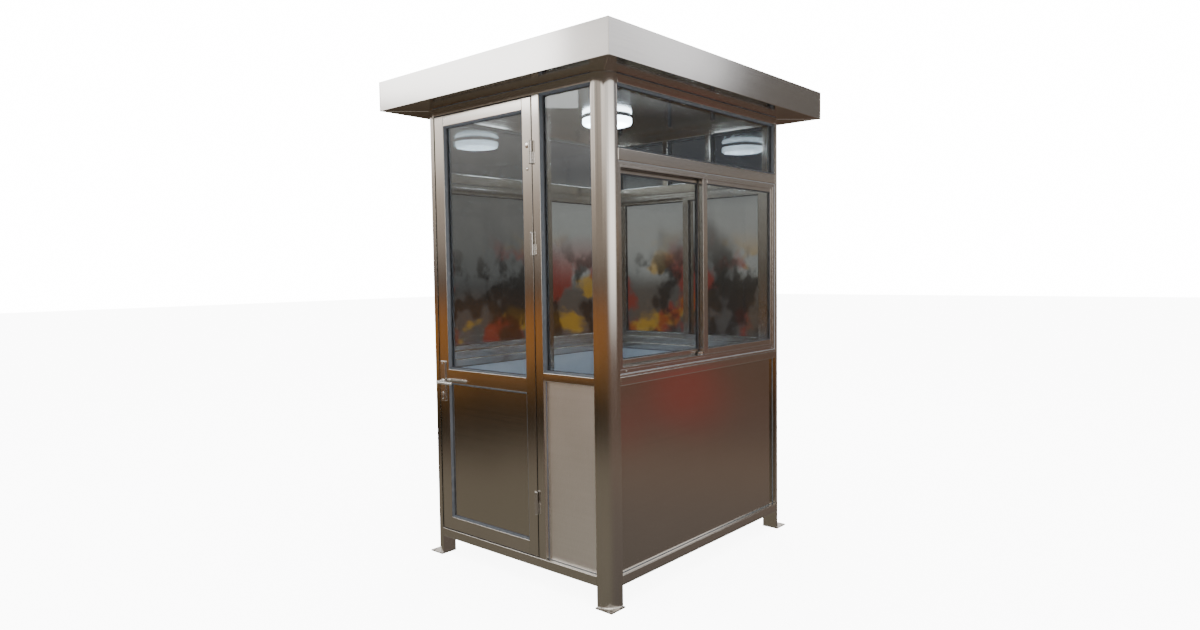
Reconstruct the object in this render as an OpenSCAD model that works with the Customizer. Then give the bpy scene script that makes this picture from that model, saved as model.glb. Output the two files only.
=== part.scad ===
/* [Cabin] */
// Width of the cabin over the corner posts, along X
body_w = 1220; // [1050:10:1500]
// Depth of the cabin over the corner posts, along Y
body_d = 1510; // [1200:10:1900]
// Clear height under the bottom rails
leg_h = 95; // [70:1:150]
// Height of the bottom rails
bottom_rail_h = 45; // [35:1:70]
// Height of the lower wall panels
panel_h = 821; // [650:1:1000]
// Height of the sill rails
sill_rail_h = 39; // [30:1:60]
// Height of the sliding window frames
window_h = 918; // [760:1:1110]
// Height of the transom rails
transom_rail_h = 52; // [35:1:70]
// Height of the transom glass
transom_h = 270; // [180:1:330]
// Height of the header rails
header_h = 39; // [30:1:60]

/* [Posts and base plates] */
// Radius of the quarter-round corner posts
post_r = 82; // [76:1:100]
// Thickness of the base plates
plate_t = 6; // [4:1:12]
// Edge of the base plate beyond the faces of its post
plate_lip = 10; // [8:1:20]
// Radius of the anchor hole in each base plate
anchor_r = 6; // [4:0.5:7]
// From the edges of the plate to the centre of its anchor hole
anchor_inset = 15; // [13:1:17]

/* [Wall members] */
// Depth of the rails and of the mullion, through the wall
member_t = 76; // [70:1:82]
// Width of the mullion between the door and the side light
mullion_w = 46; // [36:1:70]
// Depth of the panels' outer face behind the wall's face
panel_recess = 20; // [8:1:26]
// Depth of the panels' inner face behind the inner faces of the rails
panel_inset = 6; // [2:1:12]
// Depth of the fixed glass behind the wall's face
glass_recess = 22; // [14:1:34]
// Thickness of every pane
glass_t = 6; // [4:1:8]

// Width of the upright bars in the transom of the back wall
transom_bar_w = 38; // [25:1:60]
// Depth of those bars
transom_bar_t = 55; // [32:1:72]
// From the middle of the back wall to the middle of each bar
transom_bar_at = 155; // [100:5:220]

/* [Sliding windows] */
// Depth of the window frame behind the wall's face
window_setback = 5; // [2:1:8]
// Width of the jambs of the window frame
jamb_w = 22; // [16:1:40]
// Height of the solid part of the window's sill
track_base_h = 30; // [20:1:45]
// Height of the solid part of the window's head
track_head_h = 18; // [12:1:30]
// Height of the track lips
lip_h = 10; // [6:1:14]
// Thickness of the track lips
lip_t = 3; // [2:0.5:3.5]
// Thickness of a sash
sash_t = 22; // [18:1:24]
// Clearance on each side of a sash in its track
sash_gap = 2.5; // [2:0.5:3.5]
// Clearance above a sash
sash_lift = 4; // [3:1:6]
// Width of the meeting stiles, at the middle of the window
meeting_stile_w = 38; // [28:1:50]
// Width of the stiles beside the jambs
side_stile_w = 14; // [12:1:40]
// Reach of each sash past the middle of the window
meeting_lap = 21; // [15:1:30]
// Height of the sash bottom rails
sash_bottom_h = 36; // [26:1:50]
// Height of the sash top rails
sash_top_h = 24; // [18:1:40]

/* [Door] */
// Width of the doorway between the corner post and the mullion
doorway_w = 706; // [600:1:800]
// Thickness of the door leaf
leaf_t = 45; // [38:1:50]
// Gap at the hinge side, over and under the leaf
leaf_gap = 5; // [5:0.5:8]
// Gap at the latch side, where the leaf swings out
latch_gap = 7.5; // [7.5:0.5:12]
// Width of the latch stile
latch_stile_w = 68; // [62:1:90]
// Width of the hinge stile
hinge_stile_w = 58; // [45:1:80]
// Height of the bottom rail of the leaf
leaf_bottom_h = 65; // [50:1:110]
// Height of the top rail of the leaf
leaf_top_h = 53; // [45:1:90]
// From the bottom of the leaf to its lock rail
lock_rail_up = 755; // [600:1:800]
// Height of the lock rail
lock_rail_h = 69; // [50:1:110]
// Depth of the lower panel behind both faces of the leaf
leaf_recess = 16; // [8:1:16]
// Size of the stop bars behind the leaf
stop_w = 10; // [9:0.5:10.5]

/* [Hinges] */
// Radius of the hinge barrels
barrel_r = 8; // [7:0.5:10]
// Radius of the hinge pins
hinge_pin_r = 4; // [3:0.5:5]
// Radial clearance of a pin in its barrel
pin_fit = 0.08; // [0.03:0.01:0.1]
// Height of a whole hinge
hinge_h = 100; // [80:1:120]
// Space between the two barrels of a hinge
washer_t = 1; // [0.5:0.1:2]
// Width of the hinge plates
wing_w = 18; // [14:1:26]
// Thickness of the hinge plates
wing_t = 3; // [2:0.5:4]
// From the bottom of the leaf to the low hinge
hinge_low_up = 203; // [120:1:300]
// From the top of the leaf down to the middle hinge
hinge_mid_down = 706; // [560:1:800]
// From the top of the leaf down to the high hinge
hinge_high_down = 297; // [150:1:320]

/* [Handle] */
// Height of the lever's axis over the bottom of the leaf
lever_up = 760; // [720:1:800]
// Width of the handle plates
handle_plate_w = 40; // [34:1:50]
// Height of the handle plates
handle_plate_h = 204; // [160:1:240]
// Thickness of the handle plates
handle_plate_t = 8; // [5:1:12]
// From the top of the handle plates down to the lever's axis
lever_down = 103; // [50:1:120]
// Space from the latch edge of the leaf to the handle plates
handle_inset = 8; // [7:1:12]
// Radius of the lever's neck
neck_r = 8; // [6:0.5:10]
// Length of the neck outside the plate
neck_len = 40; // [30:1:60]
// Radius of the lever's grip
grip_r = 8; // [6:0.5:10]
// Length of the grip from the lever's axis
grip_len = 122; // [90:1:140]
// Radius of the spindle that joins both levers
spindle_r = 5; // [4:0.5:6]
// Radial clearance of the neck in a handle plate
neck_fit = 0.5; // [0.3:0.1:0.8]
// Radial clearance of the spindle in the leaf
spindle_room = 5; // [3:0.5:6]

/* [Roof] */
// Overhang of the roof beyond the cabin on each side
overhang = 152; // [100:1:250]
// Height of the fascia
fascia_h = 147; // [100:1:220]
// Thickness of the fascia, soffit, ceiling and roof sheets
sheet_t = 3; // [2:0.5:5]
// Depth of the roof sheet below the top edge of the fascia
roof_drop = 12; // [5:1:30]

/* [Floor and lamp] */
// Thickness of the floor deck
deck_t = 20; // [12:1:30]
// Depth of the deck below the top of the bottom rails
deck_drop = 3; // [1:1:5]
// Width of the bearers under the deck
bearer_w = 40; // [30:1:60]
// Distance between the bearers
bearer_step = 450; // [300:1:550]
// Radius of the ceiling lamp
lamp_r = 133; // [100:1:180]
// Height of the lamp's diffuser
lamp_h = 34; // [20:1:60]
// Height of the lamp's base
lamp_base_h = 8; // [4:1:15]
// Step from the edge of the diffuser in to the base
lamp_base_in = 6; // [2:1:15]
// Place of the lamp on the ceiling, along X
lamp_x = -45; // [-150:5:150]
// Place of the lamp on the ceiling, along Y
lamp_y = 30; // [-150:5:150]

/* [Hidden] */
$fn = 64;

half_w = body_w / 2;
half_d = body_d / 2;

// Levels, from the ground up
z_rail = leg_h + bottom_rail_h;
z_sill = z_rail + panel_h;
z_window = z_sill + sill_rail_h;
z_transom_rail = z_window + window_h;
z_transom = z_transom_rail + transom_rail_h;
z_header = z_transom + transom_h;
z_soffit = z_header + header_h;
z_top = z_soffit + fascia_h;

// Clear length between the corner posts
front_len = body_w - 2 * post_r;
side_len = body_d - 2 * post_r;

// Doorway and mullion, along X
x_latch = -half_w + post_r;
x_hinge = x_latch + doorway_w;
x_light = x_hinge + mullion_w;
x_light_end = half_w - post_r;

// Door leaf
y_face = -half_d;
leaf_x0 = x_latch + latch_gap;
leaf_x1 = x_hinge - leaf_gap;
leaf_z0 = z_rail + leaf_gap;
leaf_z1 = z_header - leaf_gap;
glass_x0 = leaf_x0 + latch_stile_w;
glass_x1 = leaf_x1 - hinge_stile_w;
lock_z0 = leaf_z0 + lock_rail_up;
lock_z1 = lock_z0 + lock_rail_h;
leaf_mid_y = y_face + leaf_t / 2;

// Hinge axis: a hair in front of the face, over the middle of the hinge gap
barrel_clear = 0.5;
pin_short = 2;
hinge_x = x_hinge - leaf_gap / 2;
hinge_y = y_face - barrel_r - barrel_clear;
hinge_levels = [leaf_z0 + hinge_low_up, leaf_z1 - hinge_mid_down, leaf_z1 - hinge_high_down];
knuckle_h = (hinge_h - washer_t) / 2;

// Lever axis
lever_x = leaf_x0 + handle_inset + handle_plate_w / 2;
lever_z = leaf_z0 + lever_up;

// Sliding window, measured inwards from the wall's face
lane_t = sash_t + 2 * sash_gap;
window_t = 2 * lane_t + 3 * lip_t;
sash_z0 = z_window + track_base_h;
sash_z1 = z_transom_rail - track_head_h - sash_lift;
outer_sash_x = -window_setback - lip_t - sash_gap - sash_t;
inner_sash_x = outer_sash_x - sash_t - 2 * sash_gap - lip_t;

STEEL = [0.72, 0.71, 0.69];
SHEET = [0.66, 0.64, 0.61];
GLASS = [0.55, 0.65, 0.68, 0.4];
LINER = [0.70, 0.74, 0.80];
DECK = [0.35, 0.34, 0.33];
LAMP = [0.95, 0.96, 1.0];

// A box between two corners
module block(low, high) {
    translate(low) cube(high - low);
}

// The frame of a wall: local x = 0 is the wall's outer face and +x points out of the cabin
module on_right() { translate([half_w, 0, 0]) children(); }
module on_left() { rotate([0, 0, 180]) on_right() children(); }
module on_back() { rotate([0, 0, 90]) translate([half_d, 0, 0]) children(); }
module on_front() { rotate([0, 0, -90]) translate([half_d, 0, 0]) children(); }

// A quarter-round post, its round side towards the outer corner
module corner_post(sx, sy) {
    color(STEEL)
    translate([sx * (half_w - post_r), sy * (half_d - post_r), plate_t])
    intersection() {
        cylinder(r = post_r, h = z_soffit - plate_t, $fn = 96);
        translate([sx > 0 ? 0 : -post_r - 1, sy > 0 ? 0 : -post_r - 1, 0])
            cube([post_r + 1, post_r + 1, z_soffit]);
    }
}

// A plate under each post, with its anchor hole outside the post's round side
module base_plates() {
    side = post_r + plate_lip;
    color(STEEL)
    for (sx = [-1, 1], sy = [-1, 1])
        translate([sx * (half_w - post_r), sy * (half_d - post_r), 0])
        difference() {
            translate([sx > 0 ? 0 : -side, sy > 0 ? 0 : -side, 0]) cube([side, side, plate_t]);
            translate([sx * (side - anchor_inset), sy * (side - anchor_inset), -1])
                cylinder(r = anchor_r, h = plate_t + 2);
        }
}

// A horizontal member between two posts, flush with the wall's face
module wall_rail(length, z0, z1) {
    block([-member_t, -length / 2, z0], [0, length / 2, z1]);
}

module bottom_rails() {
    color(STEEL) {
        on_front() wall_rail(front_len, leg_h, z_rail);
        on_back() wall_rail(front_len, leg_h, z_rail);
        on_left() wall_rail(side_len, leg_h, z_rail);
        on_right() wall_rail(side_len, leg_h, z_rail);
    }
}

module header_rails() {
    color(STEEL) {
        on_front() wall_rail(front_len, z_header, z_soffit);
        on_back() wall_rail(front_len, z_header, z_soffit);
        on_left() wall_rail(side_len, z_header, z_soffit);
        on_right() wall_rail(side_len, z_header, z_soffit);
    }
}

module sill_rails() {
    color(STEEL) {
        block([x_light, y_face, z_sill], [x_light_end, y_face + member_t, z_window]);
        on_back() wall_rail(front_len, z_sill, z_window);
        on_left() wall_rail(side_len, z_sill, z_window);
        on_right() wall_rail(side_len, z_sill, z_window);
    }
}

// The back rail carries two upright bars that divide its transom glass
module transom_rails() {
    color(STEEL) {
        on_back() {
            wall_rail(front_len, z_transom_rail, z_transom);
            for (side = [-1, 1])
                block([-transom_bar_t, side * transom_bar_at - transom_bar_w / 2, z_transom],
                    [0, side * transom_bar_at + transom_bar_w / 2, z_header]);
        }
        on_left() wall_rail(side_len, z_transom_rail, z_transom);
        on_right() wall_rail(side_len, z_transom_rail, z_transom);
    }
}

module floor_bearers() {
    color(STEEL)
    for (k = [-1, 0, 1])
        translate([0, k * bearer_step, 0])
        block([-half_w + member_t, -bearer_w / 2, leg_h],
            [half_w - member_t, bearer_w / 2, z_rail - deck_drop - deck_t]);
}

// The deck fills the cabin between the rails and is notched at the posts
module floor_deck() {
    color(DECK)
    translate([0, 0, z_rail - deck_drop - deck_t])
    linear_extrude(deck_t) {
        square([body_w - 2 * member_t, side_len], center = true);
        square([front_len, body_d - 2 * member_t], center = true);
    }
}

module door_mullion() {
    color(STEEL) block([x_hinge, y_face, z_rail], [x_light, y_face + member_t, z_header]);
}

// Stop bars behind the leaf, on both jambs and under the header
module door_stops() {
    y0 = y_face + leaf_t + leaf_gap;
    y1 = y0 + stop_w;
    corner_gap = 1;
    color(STEEL) {
        block([x_latch, y0, z_rail], [x_latch + stop_w, y1, z_header]);
        block([x_hinge - stop_w, y0, z_rail], [x_hinge, y1, z_header]);
        block([x_latch + stop_w + corner_gap, y0, z_header - stop_w],
            [x_hinge - stop_w - corner_gap, y1, z_header]);
    }
}

module side_light_panel() {
    color(SHEET)
    block([x_light, y_face + panel_recess, z_rail],
        [x_light_end, y_face + member_t - panel_inset, z_sill]);
}

module side_light_glass() {
    color(GLASS)
    block([x_light, y_face + glass_recess, z_window],
        [x_light_end, y_face + glass_recess + glass_t, z_header]);
}

// A wall panel, sheet on both sides of a core
module wall_panel(length) {
    color(SHEET)
    block([-member_t + panel_inset, -length / 2, z_rail], [-panel_recess, length / 2, z_sill]);
}

module transom_glass(y0, y1) {
    color(GLASS)
    block([-glass_recess - glass_t, y0, z_transom], [-glass_recess, y1, z_header]);
}

module back_transom_glass() {
    bar_in = transom_bar_at - transom_bar_w / 2;
    bar_out = transom_bar_at + transom_bar_w / 2;
    on_back() {
        transom_glass(-front_len / 2, -bar_out);
        transom_glass(-bar_in, bar_in);
        transom_glass(bar_out, front_len / 2);
    }
}

// The frame of a sliding window, with three lips that make two tracks above and below
module window_frame(length) {
    color(STEEL)
    translate([-window_setback - window_t, 0, 0]) {
        difference() {
            block([0, -length / 2, z_window], [window_t, length / 2, z_transom_rail]);
            block([-1, -length / 2 + jamb_w, z_window + track_base_h],
                [window_t + 1, length / 2 - jamb_w, z_transom_rail - track_head_h]);
        }
        for (k = [0 : 2])
            translate([k * (lane_t + lip_t), 0, 0]) {
                block([0, -length / 2 + jamb_w, z_window + track_base_h],
                    [lip_t, length / 2 - jamb_w, z_window + track_base_h + lip_h]);
                block([0, -length / 2 + jamb_w, z_transom_rail - track_head_h - lip_h],
                    [lip_t, length / 2 - jamb_w, z_transom_rail - track_head_h]);
            }
    }
}

// Ends of a sash along the wall; the two sashes lap at the middle
function sash_y0(length, outer) = outer ? -meeting_lap : -length / 2 + jamb_w;
function sash_y1(length, outer) = outer ? length / 2 - jamb_w : meeting_lap;

// Ends of a sash's pane: its meeting stile is the wide one
function pane_y0(length, outer) = sash_y0(length, outer) + (outer ? meeting_stile_w : side_stile_w);
function pane_y1(length, outer) = sash_y1(length, outer) - (outer ? side_stile_w : meeting_stile_w);

module sash(length, outer) {
    x0 = outer ? outer_sash_x : inner_sash_x;
    color(STEEL)
    difference() {
        block([x0, sash_y0(length, outer), sash_z0], [x0 + sash_t, sash_y1(length, outer), sash_z1]);
        block([x0 - 1, pane_y0(length, outer), sash_z0 + sash_bottom_h],
            [x0 + sash_t + 1, pane_y1(length, outer), sash_z1 - sash_top_h]);
    }
}

module sash_glass(length) {
    color(GLASS)
    for (outer = [false, true]) {
        x0 = (outer ? outer_sash_x : inner_sash_x) + (sash_t - glass_t) / 2;
        block([x0, pane_y0(length, outer), sash_z0 + sash_bottom_h],
            [x0 + glass_t, pane_y1(length, outer), sash_z1 - sash_top_h]);
    }
}

// Half sizes of the space inside the fascia
roof_in_x = half_w + overhang - sheet_t;
roof_in_y = half_d + overhang - sheet_t;

// A level sheet inside the fascia
module roof_layer(z0) {
    block([-roof_in_x, -roof_in_y, z0], [roof_in_x, roof_in_y, z0 + sheet_t]);
}

module soffit() {
    color(SHEET)
    difference() {
        roof_layer(z_soffit);
        block([-half_w + member_t, -half_d + member_t, z_soffit - 1],
            [half_w - member_t, half_d - member_t, z_soffit + sheet_t + 1]);
    }
}

module ceiling() {
    color(SHEET)
    block([-half_w + member_t, -half_d + member_t, z_soffit],
        [half_w - member_t, half_d - member_t, z_soffit + sheet_t]);
}

module fascia() {
    color(STEEL)
    difference() {
        block([-roof_in_x - sheet_t, -roof_in_y - sheet_t, z_soffit],
            [roof_in_x + sheet_t, roof_in_y + sheet_t, z_top]);
        block([-roof_in_x, -roof_in_y, z_soffit - 1], [roof_in_x, roof_in_y, z_top + 1]);
    }
}

module roof_sheet() {
    color(SHEET) roof_layer(z_top - roof_drop - sheet_t);
}

module ceiling_lamp() {
    color(LAMP)
    translate([lamp_x, lamp_y, z_soffit - lamp_base_h]) {
        cylinder(r = lamp_r - lamp_base_in, h = lamp_base_h);
        translate([0, 0, -lamp_h]) cylinder(r = lamp_r, h = lamp_h);
    }
}

// Lower barrels with their pins, on plates against the mullion
module frame_hinges() {
    color(STEEL)
    for (z = hinge_levels) {
        translate([hinge_x, hinge_y, z]) {
            cylinder(r = barrel_r, h = knuckle_h);
            cylinder(r = hinge_pin_r, h = hinge_h - pin_short);
        }
        block([x_hinge, y_face - wing_t, z], [hinge_x + wing_w, y_face, z + knuckle_h]);
    }
}

// Upper barrels, on plates against the leaf
module door_hinges() {
    color(STEEL)
    for (z = hinge_levels)
        translate([0, 0, z + knuckle_h + washer_t])
        difference() {
            union() {
                translate([hinge_x, hinge_y, 0]) cylinder(r = barrel_r, h = knuckle_h);
                block([hinge_x - wing_w, y_face - wing_t, 0], [leaf_x1, y_face, knuckle_h]);
            }
            translate([hinge_x, hinge_y, -1])
                cylinder(r = hinge_pin_r + pin_fit, h = knuckle_h + 2);
        }
}

module door_frame() {
    color(STEEL)
    difference() {
        block([leaf_x0, y_face, leaf_z0], [leaf_x1, y_face + leaf_t, leaf_z1]);
        block([glass_x0, y_face - 1, leaf_z0 + leaf_bottom_h],
            [glass_x1, y_face + leaf_t + 1, lock_z0]);
        block([glass_x0, y_face - 1, lock_z1],
            [glass_x1, y_face + leaf_t + 1, leaf_z1 - leaf_top_h]);
        translate([lever_x, y_face - 1, lever_z]) rotate([-90, 0, 0])
            cylinder(r = spindle_r + spindle_room, h = leaf_t + 2);
    }
}

module door_panel() {
    color(SHEET)
    block([glass_x0, y_face + leaf_recess, leaf_z0 + leaf_bottom_h],
        [glass_x1, y_face + leaf_t - leaf_recess, lock_z0]);
}

module door_glass() {
    color(GLASS)
    block([glass_x0, leaf_mid_y - glass_t / 2, lock_z1],
        [glass_x1, leaf_mid_y + glass_t / 2, leaf_z1 - leaf_top_h]);
}

// A plate on each side of the leaf, with a hole for the lever's neck
module handle_plates() {
    z1 = lever_z + lever_down;
    color(STEEL)
    for (y0 = [y_face - handle_plate_t, y_face + leaf_t])
        difference() {
            block([lever_x - handle_plate_w / 2, y0, z1 - handle_plate_h],
                [lever_x + handle_plate_w / 2, y0 + handle_plate_t, z1]);
            translate([lever_x, y0 - 1, lever_z]) rotate([-90, 0, 0])
                cylinder(r = neck_r + neck_fit, h = handle_plate_t + 2);
        }
}

// Half of the lever: the neck, and the grip at its end
module lever_half() {
    reach = leaf_t / 2 + handle_plate_t + neck_len;
    rotate([90, 0, 0]) cylinder(r = spindle_r, h = leaf_t / 2 + 1);
    translate([0, -leaf_t / 2, 0]) rotate([90, 0, 0])
        cylinder(r = neck_r, h = reach - leaf_t / 2);
    translate([0, -reach, 0]) {
        sphere(r = grip_r);
        rotate([0, 90, 0]) cylinder(r = grip_r, h = grip_len - grip_r);
        translate([grip_len - grip_r, 0, 0]) sphere(r = grip_r);
    }
}

module lever() {
    color(STEEL)
    translate([lever_x, leaf_mid_y, lever_z]) {
        lever_half();
        mirror([0, 1, 0]) lever_half();
    }
}

corner_post(-1, -1);  // post_front_left
corner_post(1, -1);  // post_front_right
corner_post(-1, 1);  // post_back_left
corner_post(1, 1);  // post_back_right
base_plates();
bottom_rails();
floor_bearers();
floor_deck();
sill_rails();
transom_rails();
header_rails();
door_mullion();
door_stops();
side_light_panel();
side_light_glass();
on_right() wall_panel(side_len);  // right_panel
on_right() window_frame(side_len);  // right_window_frame
on_right() sash(side_len, true);  // right_outer_sash
on_right() sash(side_len, false);  // right_inner_sash
on_right() sash_glass(side_len);  // right_sash_glass
on_right() transom_glass(-side_len / 2, side_len / 2);  // right_transom_glass
on_back() wall_panel(front_len);  // back_panel
on_back() window_frame(front_len);  // back_window_frame
on_back() sash(front_len, true);  // back_outer_sash
on_back() sash(front_len, false);  // back_inner_sash
on_back() sash_glass(front_len);  // back_sash_glass
back_transom_glass();
on_left() wall_panel(side_len);  // left_panel
on_left() window_frame(side_len);  // left_window_frame
on_left() sash(side_len, true);  // left_outer_sash
on_left() sash(side_len, false);  // left_inner_sash
on_left() sash_glass(side_len);  // left_sash_glass
on_left() transom_glass(-side_len / 2, side_len / 2);  // left_transom_glass
soffit();
ceiling();
fascia();
roof_sheet();
ceiling_lamp();
frame_hinges();
door_frame();
door_panel();
door_glass();
door_hinges();
handle_plates();
lever();
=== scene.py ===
"""Finished look of a stainless steel guard booth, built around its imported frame."""

import logging
import math
from collections.abc import Callable, Iterable, Sequence
from dataclasses import dataclass, field, replace
from enum import Enum

import bmesh
import bpy
from mathutils import Matrix, Vector


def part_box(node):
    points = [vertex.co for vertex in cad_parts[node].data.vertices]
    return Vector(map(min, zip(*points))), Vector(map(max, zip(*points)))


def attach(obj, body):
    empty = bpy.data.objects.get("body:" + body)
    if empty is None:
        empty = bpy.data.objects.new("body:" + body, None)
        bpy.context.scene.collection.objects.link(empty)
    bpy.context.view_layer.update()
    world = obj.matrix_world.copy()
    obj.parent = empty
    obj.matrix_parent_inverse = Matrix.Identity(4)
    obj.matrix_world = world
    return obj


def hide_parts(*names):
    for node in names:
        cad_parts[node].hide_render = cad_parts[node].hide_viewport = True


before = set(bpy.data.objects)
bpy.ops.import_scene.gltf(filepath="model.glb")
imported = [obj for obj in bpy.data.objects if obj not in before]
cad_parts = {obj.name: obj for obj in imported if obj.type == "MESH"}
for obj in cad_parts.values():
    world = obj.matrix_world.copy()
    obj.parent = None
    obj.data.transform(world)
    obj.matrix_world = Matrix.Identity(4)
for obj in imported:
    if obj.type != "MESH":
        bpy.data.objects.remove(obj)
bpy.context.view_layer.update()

Pair = tuple[float, float]
Triple = tuple[float, float, float]
Colour = tuple[float, float, float]
Stop = tuple[float, Colour]
Placer = Callable[[float, float, float], Vector]

GRIME = (0.24, 0.20, 0.16)
DUST = (0.42, 0.39, 0.35)
STREAKS_PER_M = (240.0, 1.6)
HAIRS_PER_M = (1100.0, 14.0)
SHARP = math.radians(38)
WELD_STEP = 0.003

log = logging.getLogger("booth")


# ---------------------------------------------------------------- shader maths


class Value:
    """A shader socket that can be used in Python expressions."""

    def __init__(self, graph: "Graph", socket: bpy.types.NodeSocket) -> None:
        """Args:
            graph: the node tree that the socket is in.
            socket: the output that carries the value.
        """
        self.graph = graph
        self.socket = socket

    def _math(self, operation: str, *terms: "Value | float") -> "Value":
        """Returns the outcome of one Math node on the terms."""
        return self.graph.node("ShaderNodeMath", {"operation": operation}, dict(enumerate(terms)))

    def __add__(self, other: "Value | float") -> "Value":
        """Returns self + other."""
        return self._math("ADD", self, other)

    def __radd__(self, other: float) -> "Value":
        """Returns other + self."""
        return self._math("ADD", other, self)

    def __sub__(self, other: "Value | float") -> "Value":
        """Returns self - other."""
        return self._math("SUBTRACT", self, other)

    def __rsub__(self, other: float) -> "Value":
        """Returns other - self."""
        return self._math("SUBTRACT", other, self)

    def __mul__(self, other: "Value | float") -> "Value":
        """Returns self * other."""
        return self._math("MULTIPLY", self, other)

    def __rmul__(self, other: float) -> "Value":
        """Returns other * self."""
        return self._math("MULTIPLY", other, self)

    def __pow__(self, power: float) -> "Value":
        """Returns self raised to a power."""
        return self._math("POWER", self, power)

    def __gt__(self, limit: float) -> "Value":
        """Returns 1 where self is over the limit, and 0 elsewhere."""
        return self._math("GREATER_THAN", self, limit)

    def ramp(self, start: float, end: float) -> "Value":
        """Stretches the value smoothly and holds it between 0 and 1.

        Args:
            start: what becomes 0.
            end: what becomes 1.

        Returns:
            The stretched value.
        """
        return self.graph.node(
            "ShaderNodeMapRange",
            {"interpolation_type": "SMOOTHSTEP"},
            {"Value": self, "From Min": start, "From Max": end},
        )


class Graph:
    """A node tree that is filled by expressions."""

    def __init__(self, tree: bpy.types.NodeTree) -> None:
        """Args:
            tree: the node tree to fill; what it holds is cleared.
        """
        self.tree = tree
        tree.nodes.clear()

    def node(
        self,
        kind: str,
        settings: dict[str, object] | None = None,
        sockets: dict[str | int, object] | None = None,
        out: str | int = 0,
    ) -> Value:
        """Adds a node.

        Args:
            kind: the node's type.
            settings: its properties, set first; "stops" are a ramp's (place, colour) pairs.
            sockets: a value or a link for each input, by name or number.
            out: the output that is wanted.

        Returns:
            That output.
        """
        made = self.tree.nodes.new(kind)
        for name, setting in (settings or {}).items():
            if name == "stops":
                self._set_stops(made.color_ramp, setting)
            else:
                setattr(made, name, setting)
        for key, given in (sockets or {}).items():
            if isinstance(given, Value):
                self.tree.links.new(given.socket, made.inputs[key])
            else:
                made.inputs[key].default_value = given
        return Value(self, made.outputs[out] if made.outputs else None)

    @staticmethod
    def _set_stops(ramp: bpy.types.ColorRamp, stops: Sequence[Stop]) -> None:
        """Fills a ramp that starts out with two stops.

        Args:
            ramp: the ramp.
            stops: its places and colours, in order.
        """
        while len(ramp.elements) < len(stops):
            ramp.elements.new(1.0)
        for element, (place, colour) in zip(ramp.elements, stops):
            element.position = place
            element.color = (*colour, 1.0)

    def coords(self) -> Value:
        """Returns the place of a point on the booth at rest, in metres."""
        return self.node("ShaderNodeTexCoord", out="Object")

    def part(self, vector: Value, axis: "Axis") -> Value:
        """Returns one coordinate of a vector."""
        return self.node("ShaderNodeSeparateXYZ", sockets={0: vector}, out=axis.value)

    def noise(self, vector: Value, scale: Triple, detail: float = 2.0) -> Value:
        """Adds smooth noise.

        Args:
            vector: where it is read.
            scale: how many blotches there are in a metre, along X, Y and Z.
            detail: how many finer layers it has.

        Returns:
            The noise, which lies round 0.5.
        """
        stretched = self.node("ShaderNodeVectorMath", {"operation": "MULTIPLY"}, {0: vector, 1: scale})
        return self.node("ShaderNodeTexNoise", sockets={"Vector": stretched, "Scale": 1.0, "Detail": detail})

    def mix(self, share: "Value | float", low: "Value | Colour", high: "Value | Colour") -> Value:
        """Returns a colour between low, at share 0, and high, at share 1."""
        low, high = (c if isinstance(c, Value) else (*c, 1.0) for c in (low, high))
        return self.node("ShaderNodeMix", {"data_type": "RGBA"}, {0: share, 6: low, 7: high}, out=2)

    def bump(self, height: Value, strength: float, distance: float) -> Value:
        """Returns a normal that follows the height, which spans the distance in metres."""
        return self.node(
            "ShaderNodeBump", sockets={"Height": height, "Strength": strength, "Distance": distance}
        )

    def surface(self, shader: Value, output: str = "ShaderNodeOutputMaterial") -> None:
        """Makes the shader what the tree shows."""
        self.node(output, sockets={"Surface": shader})


class Axis(Enum):
    """The direction that a grain or a length runs in."""

    X = 0
    Y = 1
    Z = 2


def shade(colour: Colour, factor: float) -> Colour:
    """Returns the colour made lighter or darker."""
    return tuple(channel * factor for channel in colour)


class Finish:
    """What dresses a surface. Each kind of finish wires its own shader."""

    name: str

    def title(self) -> str:
        """Returns the material's name."""
        return self.name

    def laid(self, low: Vector, high: Vector) -> "Finish":
        """Returns the finish as it lies on a bar between two corners."""
        return self

    def wire(self, graph: Graph) -> Value:
        """Returns the finish's shader, wired in the graph."""
        raise NotImplementedError

    def material(self) -> bpy.types.Material:
        """Returns the finish's material, made on first use."""
        found = bpy.data.materials.get(self.title())
        if found:
            return found
        made = bpy.data.materials.new(self.title())
        made.use_nodes = True
        graph = Graph(made.node_tree)
        graph.surface(self.wire(graph))
        return made


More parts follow.
